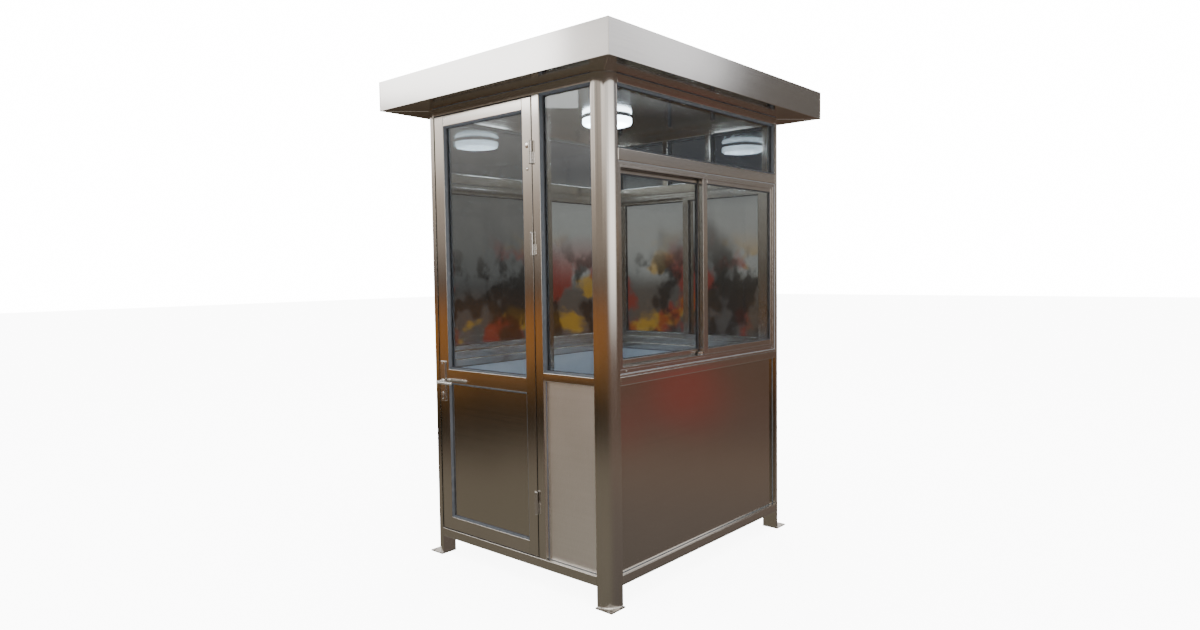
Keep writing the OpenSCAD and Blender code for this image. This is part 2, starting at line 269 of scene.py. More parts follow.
@dataclass(frozen=True)
class BrushedSteel(Finish):
    """Stainless steel with a brushed grain, faint streaks, hand marks and dust near the ground.

    Attributes:
        name: the material's name.
        colour: its mean colour.
        rough: its mean roughness.
        grain: the axis that it is brushed along.
        stretch: how far its highlights stretch across the grain.
        streak: how strong the streaks along the grain are.
        hair_height: the height of the finest grooves, in metres.
        warp: how far the sheet waves out of flat, in metres.
    """

    name: str
    colour: Colour
    rough: float
    grain: Axis = Axis.Z
    stretch: float = 0.4
    streak: float = 0.12
    hair_height: float = 0.00003
    warp: float = 0.0

    def title(self) -> str:
        """Returns the material's name, which says where the grain runs."""
        return f"{self.name}_along_{self.grain.name.lower()}"

    def along(self, grain: Axis) -> "BrushedSteel":
        """Returns the same steel with its grain in another direction."""
        return replace(self, grain=grain)

    def laid(self, low: Vector, high: Vector) -> "BrushedSteel":
        """Returns the steel with its grain along a bar's longest side."""
        sides = [high[i] - low[i] for i in range(3)]
        return self.along(Axis(sides.index(max(sides))))

    def _scale(self, across: float, along: float) -> Triple:
        """Returns a noise scale that is long along the grain."""
        return tuple(along if Axis(i) == self.grain else across for i in range(3))

    def wire(self, graph: Graph) -> Value:
        """Wires the steel.

        Args:
            graph: the material's graph.

        Returns:
            The shader.
        """
        place = graph.coords()
        streaks = graph.noise(place, self._scale(*STREAKS_PER_M), 3.0)
        hairs = graph.noise(place, self._scale(*HAIRS_PER_M), 2.0)
        clouds = graph.noise(place, (2.3, 2.3, 2.3), 2.0)
        marks = graph.noise(place, (6.0, 6.0, 6.0), 3.0).ramp(0.45, 0.8)
        ground = graph.part(place, Axis.Z).ramp(0.24, 0.0) * graph.noise(place, (22.0, 22.0, 9.0), 4.0)
        tone = (
            (streaks - 0.5) * (2.4 * self.streak)
            + (hairs - 0.5) * self.streak
            + (clouds - 0.5) * 0.5
            + 0.5
        )
        bare = graph.mix(tone, shade(self.colour, 0.88), shade(self.colour, 1.07))
        colour = graph.mix(ground * 0.3, bare, GRIME)
        rough = (
            self.rough
            + (streaks - 0.5) * 0.04
            + (hairs - 0.5) * 0.03
            + (clouds - 0.5) * 0.03
            + marks * 0.006
            + ground * 0.08
        )
        height = hairs * (0.1 * self.hair_height) + clouds * self.warp
        return graph.node(
            "ShaderNodeBsdfPrincipled",
            sockets={
                "Base Color": colour,
                "Metallic": 1.0,
                "Roughness": rough,
                "Anisotropic": self.stretch,
                "Anisotropic Rotation": 0.0 if self.grain == Axis.Z else 0.25,
                "Normal": graph.bump(height, 1.0, 1.0),
            },
        )


@dataclass(frozen=True)
class Coated(Finish):
    """Paint, rubber, plastic or sealant: mottled, with a fine skin and a little dust.

    Attributes:
        name: the material's name.
        colour: its mean colour.
        rough: its mean roughness.
        mottle: how far the blotches darken and lighten it, as a share.
        skin: the height of its fine texture, in metres.
        skin_scale: how many bumps of that texture there are in a metre.
        metallic: 1 for a metal, 0 for the rest.
    """

    name: str
    colour: Colour
    rough: float
    mottle: float = 0.18
    skin: float = 0.00015
    skin_scale: float = 260.0
    metallic: float = 0.0

    def wire(self, graph: Graph) -> Value:
        """Wires the coat.

        Args:
            graph: the material's graph.

        Returns:
            The shader.
        """
        place = graph.coords()
        blotches = graph.noise(place, (6.0, 6.0, 6.0), 4.0)
        skin = graph.noise(place, (self.skin_scale,) * 3, 3.0)
        dust = graph.noise(place, (34.0, 34.0, 34.0), 5.0).ramp(0.52, 0.78)
        tone = (blotches - 0.5) * 1.6 + (skin - 0.5) * 0.8 + 0.5
        bare = graph.mix(tone, shade(self.colour, 1.0 - self.mottle), shade(self.colour, 1.0 + self.mottle))
        return graph.node(
            "ShaderNodeBsdfPrincipled",
            sockets={
                "Base Color": graph.mix(dust * 0.05, bare, DUST),
                "Metallic": self.metallic,
                "Roughness": self.rough + (blotches - 0.5) * 0.08 + dust * 0.06,
                "Normal": graph.bump(skin, 0.4, self.skin),
            },
        )


@dataclass(frozen=True)
class PaneGlass(Finish):
    """Clear float glass that lets lamps through and mirrors more at a slant.

    Attributes:
        name: the material's name.
        tint: the colour of what is seen through it.
        head_on: the share that it mirrors when it is looked at squarely.
    """

    name: str
    tint: Colour
    head_on: float = 0.05

    def wire(self, graph: Graph) -> Value:
        """Wires the glass.

        Args:
            graph: the material's graph.

        Returns:
            The shader.
        """
        place = graph.coords()
        film = graph.noise(place, (5.0, 5.0, 5.0), 4.0).ramp(0.5, 0.8)
        slant = graph.node("ShaderNodeLayerWeight", sockets={"Blend": 0.5}, out="Facing")
        mirror = self.head_on + (1.0 - self.head_on) * slant ** 5.0 + film * 0.012
        clear = graph.node("ShaderNodeBsdfTransparent", sockets={"Color": (*self.tint, 1.0)})
        gloss = graph.node(
            "ShaderNodeBsdfPrincipled",
            sockets={
                "Base Color": (0.93, 0.96, 0.97, 1.0),
                "Metallic": 1.0,
                "Roughness": 0.02 + film * 0.05,
            },
        )
        return graph.node("ShaderNodeMixShader", sockets={0: mirror, 1: clear, 2: gloss})


@dataclass(frozen=True)
class OpalLight(Finish):
    """An opal cover that is lit from behind, a little dimmer towards its rim.

    Attributes:
        name: the material's name.
        glow: the light's colour.
        strength: how strongly it shines.
        centre: its middle in plan.
        radius: its radius.
    """

    name: str
    glow: Colour
    strength: float
    centre: Pair
    radius: float

    def wire(self, graph: Graph) -> Value:
        """Wires the lit cover.

        Args:
            graph: the material's graph.

        Returns:
            The shader.
        """
        place = graph.coords()
        offset = graph.node(
            "ShaderNodeVectorMath", {"operation": "SUBTRACT"}, {0: place, 1: (*self.centre, 0.0)}
        )
        level = {0: offset, 1: (1.0, 1.0, 0.0)}
        flat = graph.node("ShaderNodeVectorMath", {"operation": "MULTIPLY"}, level)
        reach = graph.node("ShaderNodeVectorMath", {"operation": "LENGTH"}, {0: flat}, out="Value")
        rim = reach.ramp(0.7 * self.radius, self.radius)
        grain = graph.noise(place, (90.0, 90.0, 90.0), 3.0)
        glow = graph.mix(rim, self.glow, shade(self.glow, 0.55))
        return graph.node(
            "ShaderNodeBsdfPrincipled",
            sockets={
                "Base Color": graph.mix(grain, (0.80, 0.82, 0.84), (0.9, 0.92, 0.94)),
                "Roughness": 0.35 + (grain - 0.5) * 0.1,
                "Emission Color": glow,
                "Emission Strength": self.strength,
            },
        )


FRAME_STEEL = BrushedSteel("frame_steel", (0.66, 0.63, 0.585), 0.13)
SHEET_STEEL = BrushedSteel("panel_sheet", (0.60, 0.57, 0.52), 0.12, warp=0.0002)
SIDE_STEEL = BrushedSteel("side_sheet", (0.84, 0.81, 0.765), 0.33, Axis.X)
FASCIA_STEEL = BrushedSteel("fascia_sheet", (0.64, 0.625, 0.605), 0.14, streak=0.35, warp=0.0004)
WINDOW_STEEL = BrushedSteel("window_section", (0.60, 0.58, 0.55), 0.20)
MIRROR_STEEL = BrushedSteel("roof_sheeting", (0.52, 0.50, 0.48), 0.12, Axis.X, 0.25, 0.12, 0.000004)
SATIN_STEEL = BrushedSteel("hardware_satin", (0.68, 0.67, 0.65), 0.20, stretch=0.3, streak=0.15)
WELD_STEEL = BrushedSteel("weld_bead", (0.86, 0.84, 0.80), 0.24, stretch=0.0, streak=0.2)
INNER_SHEET = Coated("inner_sheet", (0.40, 0.45, 0.53), 0.42, 0.05)
BEAD_COAT = Coated("glazing_bead", (0.040, 0.045, 0.052), 0.4)
# Also used for black patches of painted shade: drain slots, key slot, strike openings and the line under the
# soffit.
RUBBER_AND_SHADE = Coated("black_rubber_and_shade", (0.018, 0.018, 0.02), 0.62, skin_scale=700.0)
SEALANT = Coated("grey_sealant", (0.10, 0.10, 0.10), 0.5)
# Also used for the black crosses of painted shade in the screw heads.
BLACK_PLASTIC_AND_SHADE = Coated("black_plastic_and_shade", (0.03, 0.03, 0.032), 0.4)
BROWN_PLASTIC = Coated("brown_plastic", (0.16, 0.08, 0.04), 0.45)
LAMP_BASE = Coated("lamp_base", (0.22, 0.23, 0.25), 0.4)
DECK_COAT = Coated("deck_sheet", (0.13, 0.13, 0.135), 0.55, 0.12)
CLEAR_GLASS = PaneGlass("clear_float_glass", (0.83, 0.86, 0.87))


# ---------------------------------------------------------------- mesh making


def arc(centre: Pair, radius: float, start: float, end: float, steps: int) -> list[Pair]:
    """Draws an arc.

    Args:
        centre: its middle.
        radius: its radius.
        start: its first angle, in degrees.
        end: its last angle, in degrees.
        steps: how many pieces it is cut into.

    Returns:
        Its points, in order.
    """
    angles = (math.radians(start + (end - start) * i / steps) for i in range(steps + 1))
    return [(centre[0] + radius * math.cos(a), centre[1] + radius * math.sin(a)) for a in angles]


def rounded_rectangle(low: Pair, high: Pair, radius: float, steps: int = 6) -> list[Pair]:
    """Draws a rectangle with round corners.

    Args:
        low: one corner.
        high: the opposite corner.
        radius: the corners' radius.
        steps: how many pieces each corner is cut into.

    Returns:
        Its points, in order.
    """
    x0, y0, x1, y1 = low[0] + radius, low[1] + radius, high[0] - radius, high[1] - radius
    outline: list[Pair] = []
    for centre, start in (((x1, y1), 0), ((x0, y1), 90), ((x0, y0), 180), ((x1, y0), 270)):
        outline += arc(centre, radius, start, start + 90, steps)
    return outline


def aimed(at: Sequence[float], direction: Sequence[float]) -> Matrix:
    """Returns the placing of a shape whose own Z points in the direction."""
    turn = Vector(direction).to_track_quat("Z", "Y").to_matrix().to_4x4()
    return Matrix.Translation(Vector(at)) @ turn


class Shape:
    """A mesh in the making, out of bars, prisms, turned and swept forms."""

    def __init__(self) -> None:
        """Starts an empty mesh."""
        self.bm = bmesh.new()
        self.finishes: list[Finish] = []

    def _index(self, finish: Finish) -> int:
        """Returns the material number of a finish, which is added if it is new."""
        if finish not in self.finishes:
            self.finishes.append(finish)
        return self.finishes.index(finish)

    def _face(self, corners: Iterable[bmesh.types.BMVert], finish: Finish) -> bmesh.types.BMFace:
        """Adds one face."""
        made = self.bm.faces.new(list(corners))
        made.material_index = self._index(finish)
        return made

    def _round(self, faces: Iterable[bmesh.types.BMFace], edge: float, steps: int) -> None:
        """Rounds the sharp edges of a closed group of faces.

        Args:
            faces: the faces.
            edge: the radius.
            steps: how many strips round each edge.
        """
        faces = list(faces)
        bmesh.ops.recalc_face_normals(self.bm, faces=faces)
        edges = dict.fromkeys(e for f in faces for e in f.edges)
        sharp = [e for e in edges if e.is_manifold and e.calc_face_angle() > SHARP]
        bmesh.ops.bevel(
            self.bm, geom=sharp, offset=edge, segments=steps, affect="EDGES", profile=0.5, clamp_overlap=True
        )

    def bar(
        self,
        low: Sequence[float],
        high: Sequence[float],
        finish: Finish,
        edge: float = 0.0025,
        steps: int = 3,
    ) -> "Shape":
        """Adds a straight section with rounded edges between two corners.

        Args:
            low: one corner.
            high: the opposite corner.
            finish: its finish, whose grain follows the section.
            edge: the radius of its edges.
            steps: how many strips round each edge.

        Returns:
            The shape, so that calls can be chained.
        """
        low, high = (Vector(map(pick, low, high)) for pick in (min, max))
        finish = finish.laid(low, high)
        at = [Vector((x, y, z)) for z in (low.z, high.z) for y in (low.y, high.y) for x in (low.x, high.x)]
        corners = [self.bm.verts.new(point) for point in at]
        rings = ((0, 1, 3, 2), (4, 5, 7, 6), (0, 1, 5, 4), (2, 3, 7, 6), (0, 2, 6, 4), (1, 3, 7, 5))
        faces = [self._face((corners[i] for i in ring), finish) for ring in rings]
        self._round(faces, min(edge, min(high - low) * 0.45), steps)
        return self

    def prism(
        self, outline: Sequence[Pair], depth: float, place: Matrix, finish: Finish, edge: float = 0.001
    ) -> "Shape":
        """Adds an outline drawn out along its own Z.

        Args:
            outline: its points, in order.
            depth: how far it is drawn out.
            place: where its own frame lies.
            finish: its finish.
            edge: the radius of its sharp edges.

        Returns:
            The shape, as the methods below do too.
        """
        ends = [[self.bm.verts.new(place @ Vector((x, y, z))) for x, y in outline] for z in (0.0, depth)]
        count = len(outline)
        faces = [self._face(end, finish) for end in ends]
        for i in range(count):
            j = (i + 1) % count
            faces.append(self._face((ends[0][i], ends[0][j], ends[1][j], ends[1][i]), finish))
        self._round(faces, edge, 2)
        return self

    def turned(
        self, profile: Sequence[Pair], place: Matrix, finish: Finish, sides: int = 32
    ) -> "Shape":
        """Adds a form turned about its own Z.

        Args:
            profile: (radius, height) points; a first or last radius of 0 closes that end.
            place: where its own frame lies.
            finish: its finish.
            sides: how many faces go round.
        """
        rings: list[list[bmesh.types.BMVert]] = []
        for radius, height in profile:
            if radius <= 0.0:
                rings.append([self.bm.verts.new(place @ Vector((0.0, 0.0, height)))])
                continue
            ring = arc((0.0, 0.0), radius, 0, 360, sides)[:-1]
            rings.append([self.bm.verts.new(place @ Vector((x, y, height))) for x, y in ring])
        for lower, upper in zip(rings, rings[1:]):
            self._band(lower, upper, finish)
        return self

    def _band(
        self, lower: list[bmesh.types.BMVert], upper: list[bmesh.types.BMVert], finish: Finish
    ) -> None:
        """Joins two rings of points, either of which may be a single point.

        Args:
            lower: one ring.
            upper: the other ring.
            finish: the finish of the band between them.
        """
        count = max(len(lower), len(upper))
        for i in range(count):
            j = (i + 1) % count
            corners = [ring[k % len(ring)] for ring, k in ((lower, i), (lower, j), (upper, j), (upper, i))]
            self._face(dict.fromkeys(corners), finish)

    def rod(
        self,
        path: Sequence[Sequence[float]],
        radius: Callable[[float], float],
        finish: Finish,
        sides: int = 12,
    ) -> "Shape":
        """Adds a round rod along a path, with closed ends.

        Args:
            path: the points that its middle follows.
            radius: its radius at a share of the path from 0 to 1.
            finish: its finish.
            sides: how many faces go round.
        """
        points = [Vector(p) for p in path]
        heading = (points[1] - points[0]).normalized()
        across = heading.orthogonal().normalized()
        rings = []
        for i, point in enumerate(points):
            ahead = (points[min(i + 1, len(points) - 1)] - points[max(i - 1, 0)]).normalized()
            across = (across - ahead * across.dot(ahead)).normalized()
            other = ahead.cross(across)
            reach = radius(i / (len(points) - 1))
            turns = arc((0.0, 0.0), reach, 0, 360, sides)[:-1]
            rings.append([self.bm.verts.new(point + across * u + other * v) for u, v in turns])
        for end in (rings[0], rings[-1]):
            self._face(end, finish)
        for lower, upper in zip(rings, rings[1:]):
            self._band(lower, upper, finish)
        return self

    def weld(self, start: Sequence[float], end: Sequence[float], radius: float = 0.0016) -> "Shape":
        """Adds a rippled weld bead.

        Args:
            start: its first end.
            end: its last end.
            radius: its mean radius.
        """
        start, end = Vector(start), Vector(end)
        count = max(8, int((end - start).length / WELD_STEP))
        path = [start.lerp(end, i / count) for i in range(count + 1)]

        def ripple(share: float) -> float:
            """Returns the bead's radius at a share of its length."""
            return radius * (1 + 0.22 * math.sin(share * count * 2.1))

        return self.rod(path, ripple, WELD_STEEL, 8)

    def ring(
        self,
        low: Pair,
        high: Pair,
        profile: Sequence[Pair],
        point: Placer,
        finish: Finish,
    ) -> "Shape":
        """Adds a mitred frame: a closed profile carried round a rectangle.

        Args:
            low: one corner of the rectangle.
            high: the opposite corner.
            profile: (inset, height) points; the inset is measured into the rectangle.
            point: turns (first, second, height) into a place.
            finish: its finish, whose grain follows each side.
        """
        rings = []
        for inset, height in profile:
            x0, y0, x1, y1 = low[0] + inset, low[1] + inset, high[0] - inset, high[1] - inset
            spots = ((x0, y0), (x1, y0), (x1, y1), (x0, y1))
            rings.append([self.bm.verts.new(point(x, y, height)) for x, y in spots])
        for k, lower in enumerate(rings):
            upper = rings[(k + 1) % len(rings)]
            for i in range(4):
                j = (i + 1) % 4
                box = [[f(lower[i].co[n], lower[j].co[n]) for n in range(3)] for f in (min, max)]
                side = finish.laid(*map(Vector, box))
                self._face((lower[i], lower[j], upper[j], upper[i]), side)
        return self

    def sheet(
        self,
        low: Pair,
        high: Pair,
        back: float,
        front: float,
        point: Placer,
        finishes: tuple[Finish, Finish],
        belly: float = 0.0006,
    ) -> "Shape":
        """Adds a panel whose faces are slightly bellied, as rolled sheet is.

        Args:
            low: one corner of its rectangle.
            high: the opposite corner.
            back: the height of its back face.
            front: the height of its front face.
            point: turns (first, second, height) into a place.
            finishes: those of its front and back.
            belly: how far its middle sinks, in metres.
        """
        columns, rows = 28, 24

        def dip(u: float, v: float) -> float:
            """Returns how far the sheet sinks at a share of its width and height."""
            edge = math.sin(math.pi * u) * math.sin(math.pi * v)
            return edge * belly * (1 + 0.5 * math.sin(7.3 * u + 1.1) * math.sin(5.1 * v + 0.6))

        faces = []
        for height, inwards in ((front, -1.0), (back, 1.0)):
            grid = []
            for j in range(rows + 1):
                v = j / rows
                row = []
                for i in range(columns + 1):
                    u = i / columns
                    x, y = low[0] + (high[0] - low[0]) * u, low[1] + (high[1] - low[1]) * v
                    row.append(self.bm.verts.new(point(x, y, height + inwards * dip(u, v))))
                grid.append(row)
            faces.append(grid)
        for grid, finish in zip(faces, finishes):
            for j in range(rows):
                for i in range(columns):
                    self._face((grid[j][i], grid[j][i + 1], grid[j + 1][i + 1], grid[j + 1][i]), finish)
        rims = []
        for grid in faces:
            rims.append(
                grid[0][:-1]
                + [row[-1] for row in grid[:-1]]
                + grid[-1][:0:-1]
                + [row[0] for row in grid[:0:-1]]
            )
        self._band(rims[0], rims[1], finishes[0])
        return self

    def screw(self, at: Sequence[float], out: Sequence[float], radius: float = 0.004) -> "Shape":
        """Adds a pan head screw, with its cross recess drawn as a black cross of painted shade.

        Args:
            at: where its head meets the surface.
            out: the direction that it faces.
            radius: its head's radius.
        """
        place = aimed(at, out)
        high = radius * 0.55
        head = [(1.0, 0.0), (1.0, 0.35), (0.8, 0.8), (0.4, 1.0), (0.0, 1.0)]
        self.turned([(radius * out, high * up) for out, up in head], place, SATIN_STEEL, 16)
        # The cross recess is a thin black cross in the head: painted shade where the hollow is.
        recess_shade_at = place @ Matrix.Translation((0.0, 0.0, high * 0.75))
        for long, short in ((0.55, 0.12), (0.12, 0.55)):
            outline = [(-long, -short), (long, -short), (long, short), (-long, short)]
            scaled = [(x * radius, y * radius) for x, y in outline]
            self.prism(scaled, high * 0.32, recess_shade_at, BLACK_PLASTIC_AND_SHADE, 0.00004)
        return self

    def piece(
        self, name: str, slot: str, stands_for: Sequence[str] = (), body: str = "root"
    ) -> bpy.types.Object:
        """Closes the mesh and puts it in the scene.

        Args:
            name: the piece's name.
            slot: a material slot's name; not used.
            stands_for: the CAD nodes that it replaces.
            body: the body that it rides on.

        Returns:
            The new object.
        """
        bmesh.ops.recalc_face_normals(self.bm, faces=self.bm.faces)
        for face in self.bm.faces:
            face.smooth = True
        for edge in self.bm.edges:
            edge.smooth = not (edge.is_manifold and edge.calc_face_angle() > SHARP)
        mesh = bpy.data.meshes.new(name)
        self.bm.to_mesh(mesh)
        self.bm.free()
        for finish in self.finishes:
            mesh.materials.append(finish.material())
        made = bpy.data.objects.new(name, mesh)
        bpy.context.scene.collection.objects.link(made)
        made.modifiers.new("even_shading", "WEIGHTED_NORMAL").keep_sharp = True
        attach(made, body)
        if stands_for:
            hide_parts(*stands_for)
        log.info("%s: %d faces on %s", name, len(mesh.polygons), body)
        return made


def dress(node: str, finish: Finish) -> None:
    """Gives a CAD node its finish."""
    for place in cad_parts[node].material_slots:
        place.material = finish.material()
    log.info("%s: CAD shape in %s", node, finish.title())


# ---------------------------------------------------------------- places


class Side(Enum):
    """The four walls, each with the directions along it and out of it."""

    FRONT = ((1, 0, 0), (0, -1, 0))
    RIGHT = ((0, 1, 0), (1, 0, 0))
    BACK = ((-1, 0, 0), (0, 1, 0))
    LEFT = ((0, -1, 0), (-1, 0, 0))

    @property
    def along(self) -> Vector:
        """Returns the direction along the wall."""
        return Vector(self.value[0])

    @property
    def out(self) -> Vector:
        """Returns the direction out of the wall."""
        return Vector(self.value[1])

    @property
    def grain(self) -> Axis:
        """Returns the axis that runs along the wall."""
        return Axis.X if self.value[0][0] else Axis.Y


GLAZED = (Side.RIGHT, Side.BACK, Side.LEFT)


@dataclass(frozen=True)
class Levels:
    """The heights and half widths that the whole booth shares.

    Attributes:
        half_w: half the width over the posts.
        half_d: half the depth over the posts.
        post: the posts' radius.
        member: the rails' depth.
        rail: the foot and top of the bottom rails.
        sill: those of the sill rails.
        transom: those of the transom rails.
        header: those of the header rails.
    """

    half_w: float
    half_d: float
    post: float
    member: float
    rail: Pair
    sill: Pair
    transom: Pair
    header: Pair

    @staticmethod
    def from_frame() -> "Levels":
        """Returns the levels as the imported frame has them."""
        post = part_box("post_front_right")
        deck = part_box("floor_deck")
        heights = {}
        for node in ("bottom_rails", "sill_rails", "header_rails", "right_window_frame"):
            low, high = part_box(node)
            heights[node] = (low.z, high.z)
        return Levels(
            half_w=post[1].x,
            half_d=-post[0].y,
            post=post[1].x - post[0].x,
            member=post[1].x - deck[1].x,
            rail=heights["bottom_rails"],
            sill=heights["sill_rails"],
            transom=(heights["right_window_frame"][1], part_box("right_transom_glass")[0].z),
            header=heights["header_rails"],
        )

    def face(self, side: Side) -> float:
        """Returns the distance of a wall's outer face from the middle."""
        return self.half_w if side in (Side.RIGHT, Side.LEFT) else self.half_d

    def half(self, side: Side) -> float:
        """Returns half the clear length of a wall between its posts."""
        return (self.half_d if side in (Side.RIGHT, Side.LEFT) else self.half_w) - self.post

    def depths(self, node: str, side: Side) -> Pair:
        """Returns a flat node's inner and outer face, measured out from the wall's outer face."""
        ends = [side.out.dot(corner) - self.face(side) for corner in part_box(node)]
        return min(ends), max(ends)

    def point(self, side: Side) -> Placer:
        """Returns a function that places (along, up, out), with out from the wall's outer face."""
        along, out, face = side.along, side.out, self.face(side)
        return lambda a, up, o: along * a + out * (face + o) + Vector((0, 0, up))


# ---------------------------------------------------------------- sub-assemblies


@dataclass
class Posts:
    """The quarter round corner posts on their plates."""

    levels: Levels
    edge: float = 0.003
    arc_steps: int = 28
    bead_r: float = 0.0026
    bead_steps: int = 40
    ripple: float = 0.2
    ripple_turns: float = 150.0

    def build(self) -> None:
        """Makes the four posts and the welds at their feet."""
        plate_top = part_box("base_plates")[1].z
        for name, sx, sy in (
            ("front_left", -1, -1),
            ("front_right", 1, -1),
            ("back_left", -1, 1),
            ("back_right", 1, 1),
        ):
            self._post(f"post_{name}", sx, sy, plate_top)
        dress("base_plates", FRAME_STEEL.along(Axis.X))

    def _post(self, node: str, sx: int, sy: int, foot: float) -> None:
        """Makes one post.

        Args:
            node: the CAD node that it stands for.
            sx: the side that it is on along X, -1 or 1.
            sy: the side that it is on along Y, -1 or 1.
            foot: the height of its foot.
        """
        low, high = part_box(node)
        inner = (low.x if sx > 0 else high.x, low.y if sy > 0 else high.y)
        radius = self.levels.post
        quarter = arc((0.0, 0.0), radius, 0, 90, self.arc_steps)
        outline = [(inner[0] + sx * x, inner[1] + sy * y) for x, y in [(0.0, 0.0), *quarter]]
        shape = Shape()
        place = Matrix.Translation((0.0, 0.0, foot))
        shape.prism(outline, high.z - foot, place, FRAME_STEEL, self.edge)
        turn = arc((0, 0), radius, 2, 88, self.bead_steps)
        bead = [(inner[0] + sx * x, inner[1] + sy * y, foot) for x, y in turn]
        shape.rod(bead, self._bead_radius, WELD_STEEL, 8)
        shape.piece(f"{node}_tube", "frame_steel", [node])

    def _bead_radius(self, share: float) -> float:
        """Returns the foot weld's radius at a share of its length."""
        return self.bead_r * (1 + self.ripple * math.sin(share * self.ripple_turns))


@dataclass
class Rails:
    """The level members of the four walls, with rounded tube edges.

    Attributes:
        levels: the booth's levels.
        edge: the radius of the tubes' edges.
        bar_w: the width of the two bars in the back transom.
        bar_t: their depth.
        bar_at: how far their middles are from the wall's middle.
    """

    levels: Levels
    edge: float = 0.0035
    bar_w: float = 0.038
    bar_t: float = 0.055
    bar_at: float = 0.155

    def build(self) -> None:
        """Makes the four levels of rails and the mullion, and dresses the floor's bearers."""
        self._rails("bottom_rails", self.levels.rail)
        self._rails("header_rails", self.levels.header)
        self._sills()
        self._transoms()
        shape = Shape().bar(*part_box("door_mullion"), FRAME_STEEL, self.edge)
        shape.piece("door_mullion_tube", "frame_steel", ["door_mullion"])
        dress("floor_bearers", FRAME_STEEL.along(Axis.X))

    def _rail(self, shape: Shape, side: Side, span: Pair) -> None:
        """Adds one wall's rail between two heights, from its outer face inwards."""
        point, half = self.levels.point(side), self.levels.half(side)
        low, high = point(-half, span[0], -self.levels.member), point(half, span[1], 0.0)
        shape.bar(low, high, FRAME_STEEL, self.edge)

    def _rails(self, node: str, span: Pair) -> None:
        """Makes one level of rails, on all four walls.

        Args:
            node: the CAD node that they stand for.
            span: their foot and top.
        """
        shape = Shape()
        for side in Side:
            self._rail(shape, side, span)
        shape.piece(f"{node}_tubes", "frame_steel", [node])

    def _sills(self) -> None:
        """Makes the rails under the windows, and the short one under the side light."""
        shape = Shape()
        for side in GLAZED:
            self._rail(shape, side, self.levels.sill)
        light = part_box("side_light_glass")
        face = -self.levels.half_d
        low = (light[0].x, face, self.levels.sill[0])
        high = (light[1].x, face + self.levels.member, self.levels.sill[1])
        shape.bar(low, high, FRAME_STEEL, self.edge)
        shape.piece("sill_rails_tubes", "frame_steel", ["sill_rails"])

    def _transoms(self) -> None:
        """Makes the rails over the windows, and the bars in the back transom."""
        shape = Shape()
        for side in GLAZED:
            self._rail(shape, side, self.levels.transom)
        point = self.levels.point(Side.BACK)
        for middle in (-self.bar_at, self.bar_at):
            low = point(middle - self.bar_w / 2, self.levels.transom[1], -self.bar_t)
            high = point(middle + self.bar_w / 2, self.levels.header[0], 0.0)
            shape.bar(low, high, FRAME_STEEL, self.edge)
        shape.piece("transom_rails_tubes", "frame_steel", ["transom_rails"])


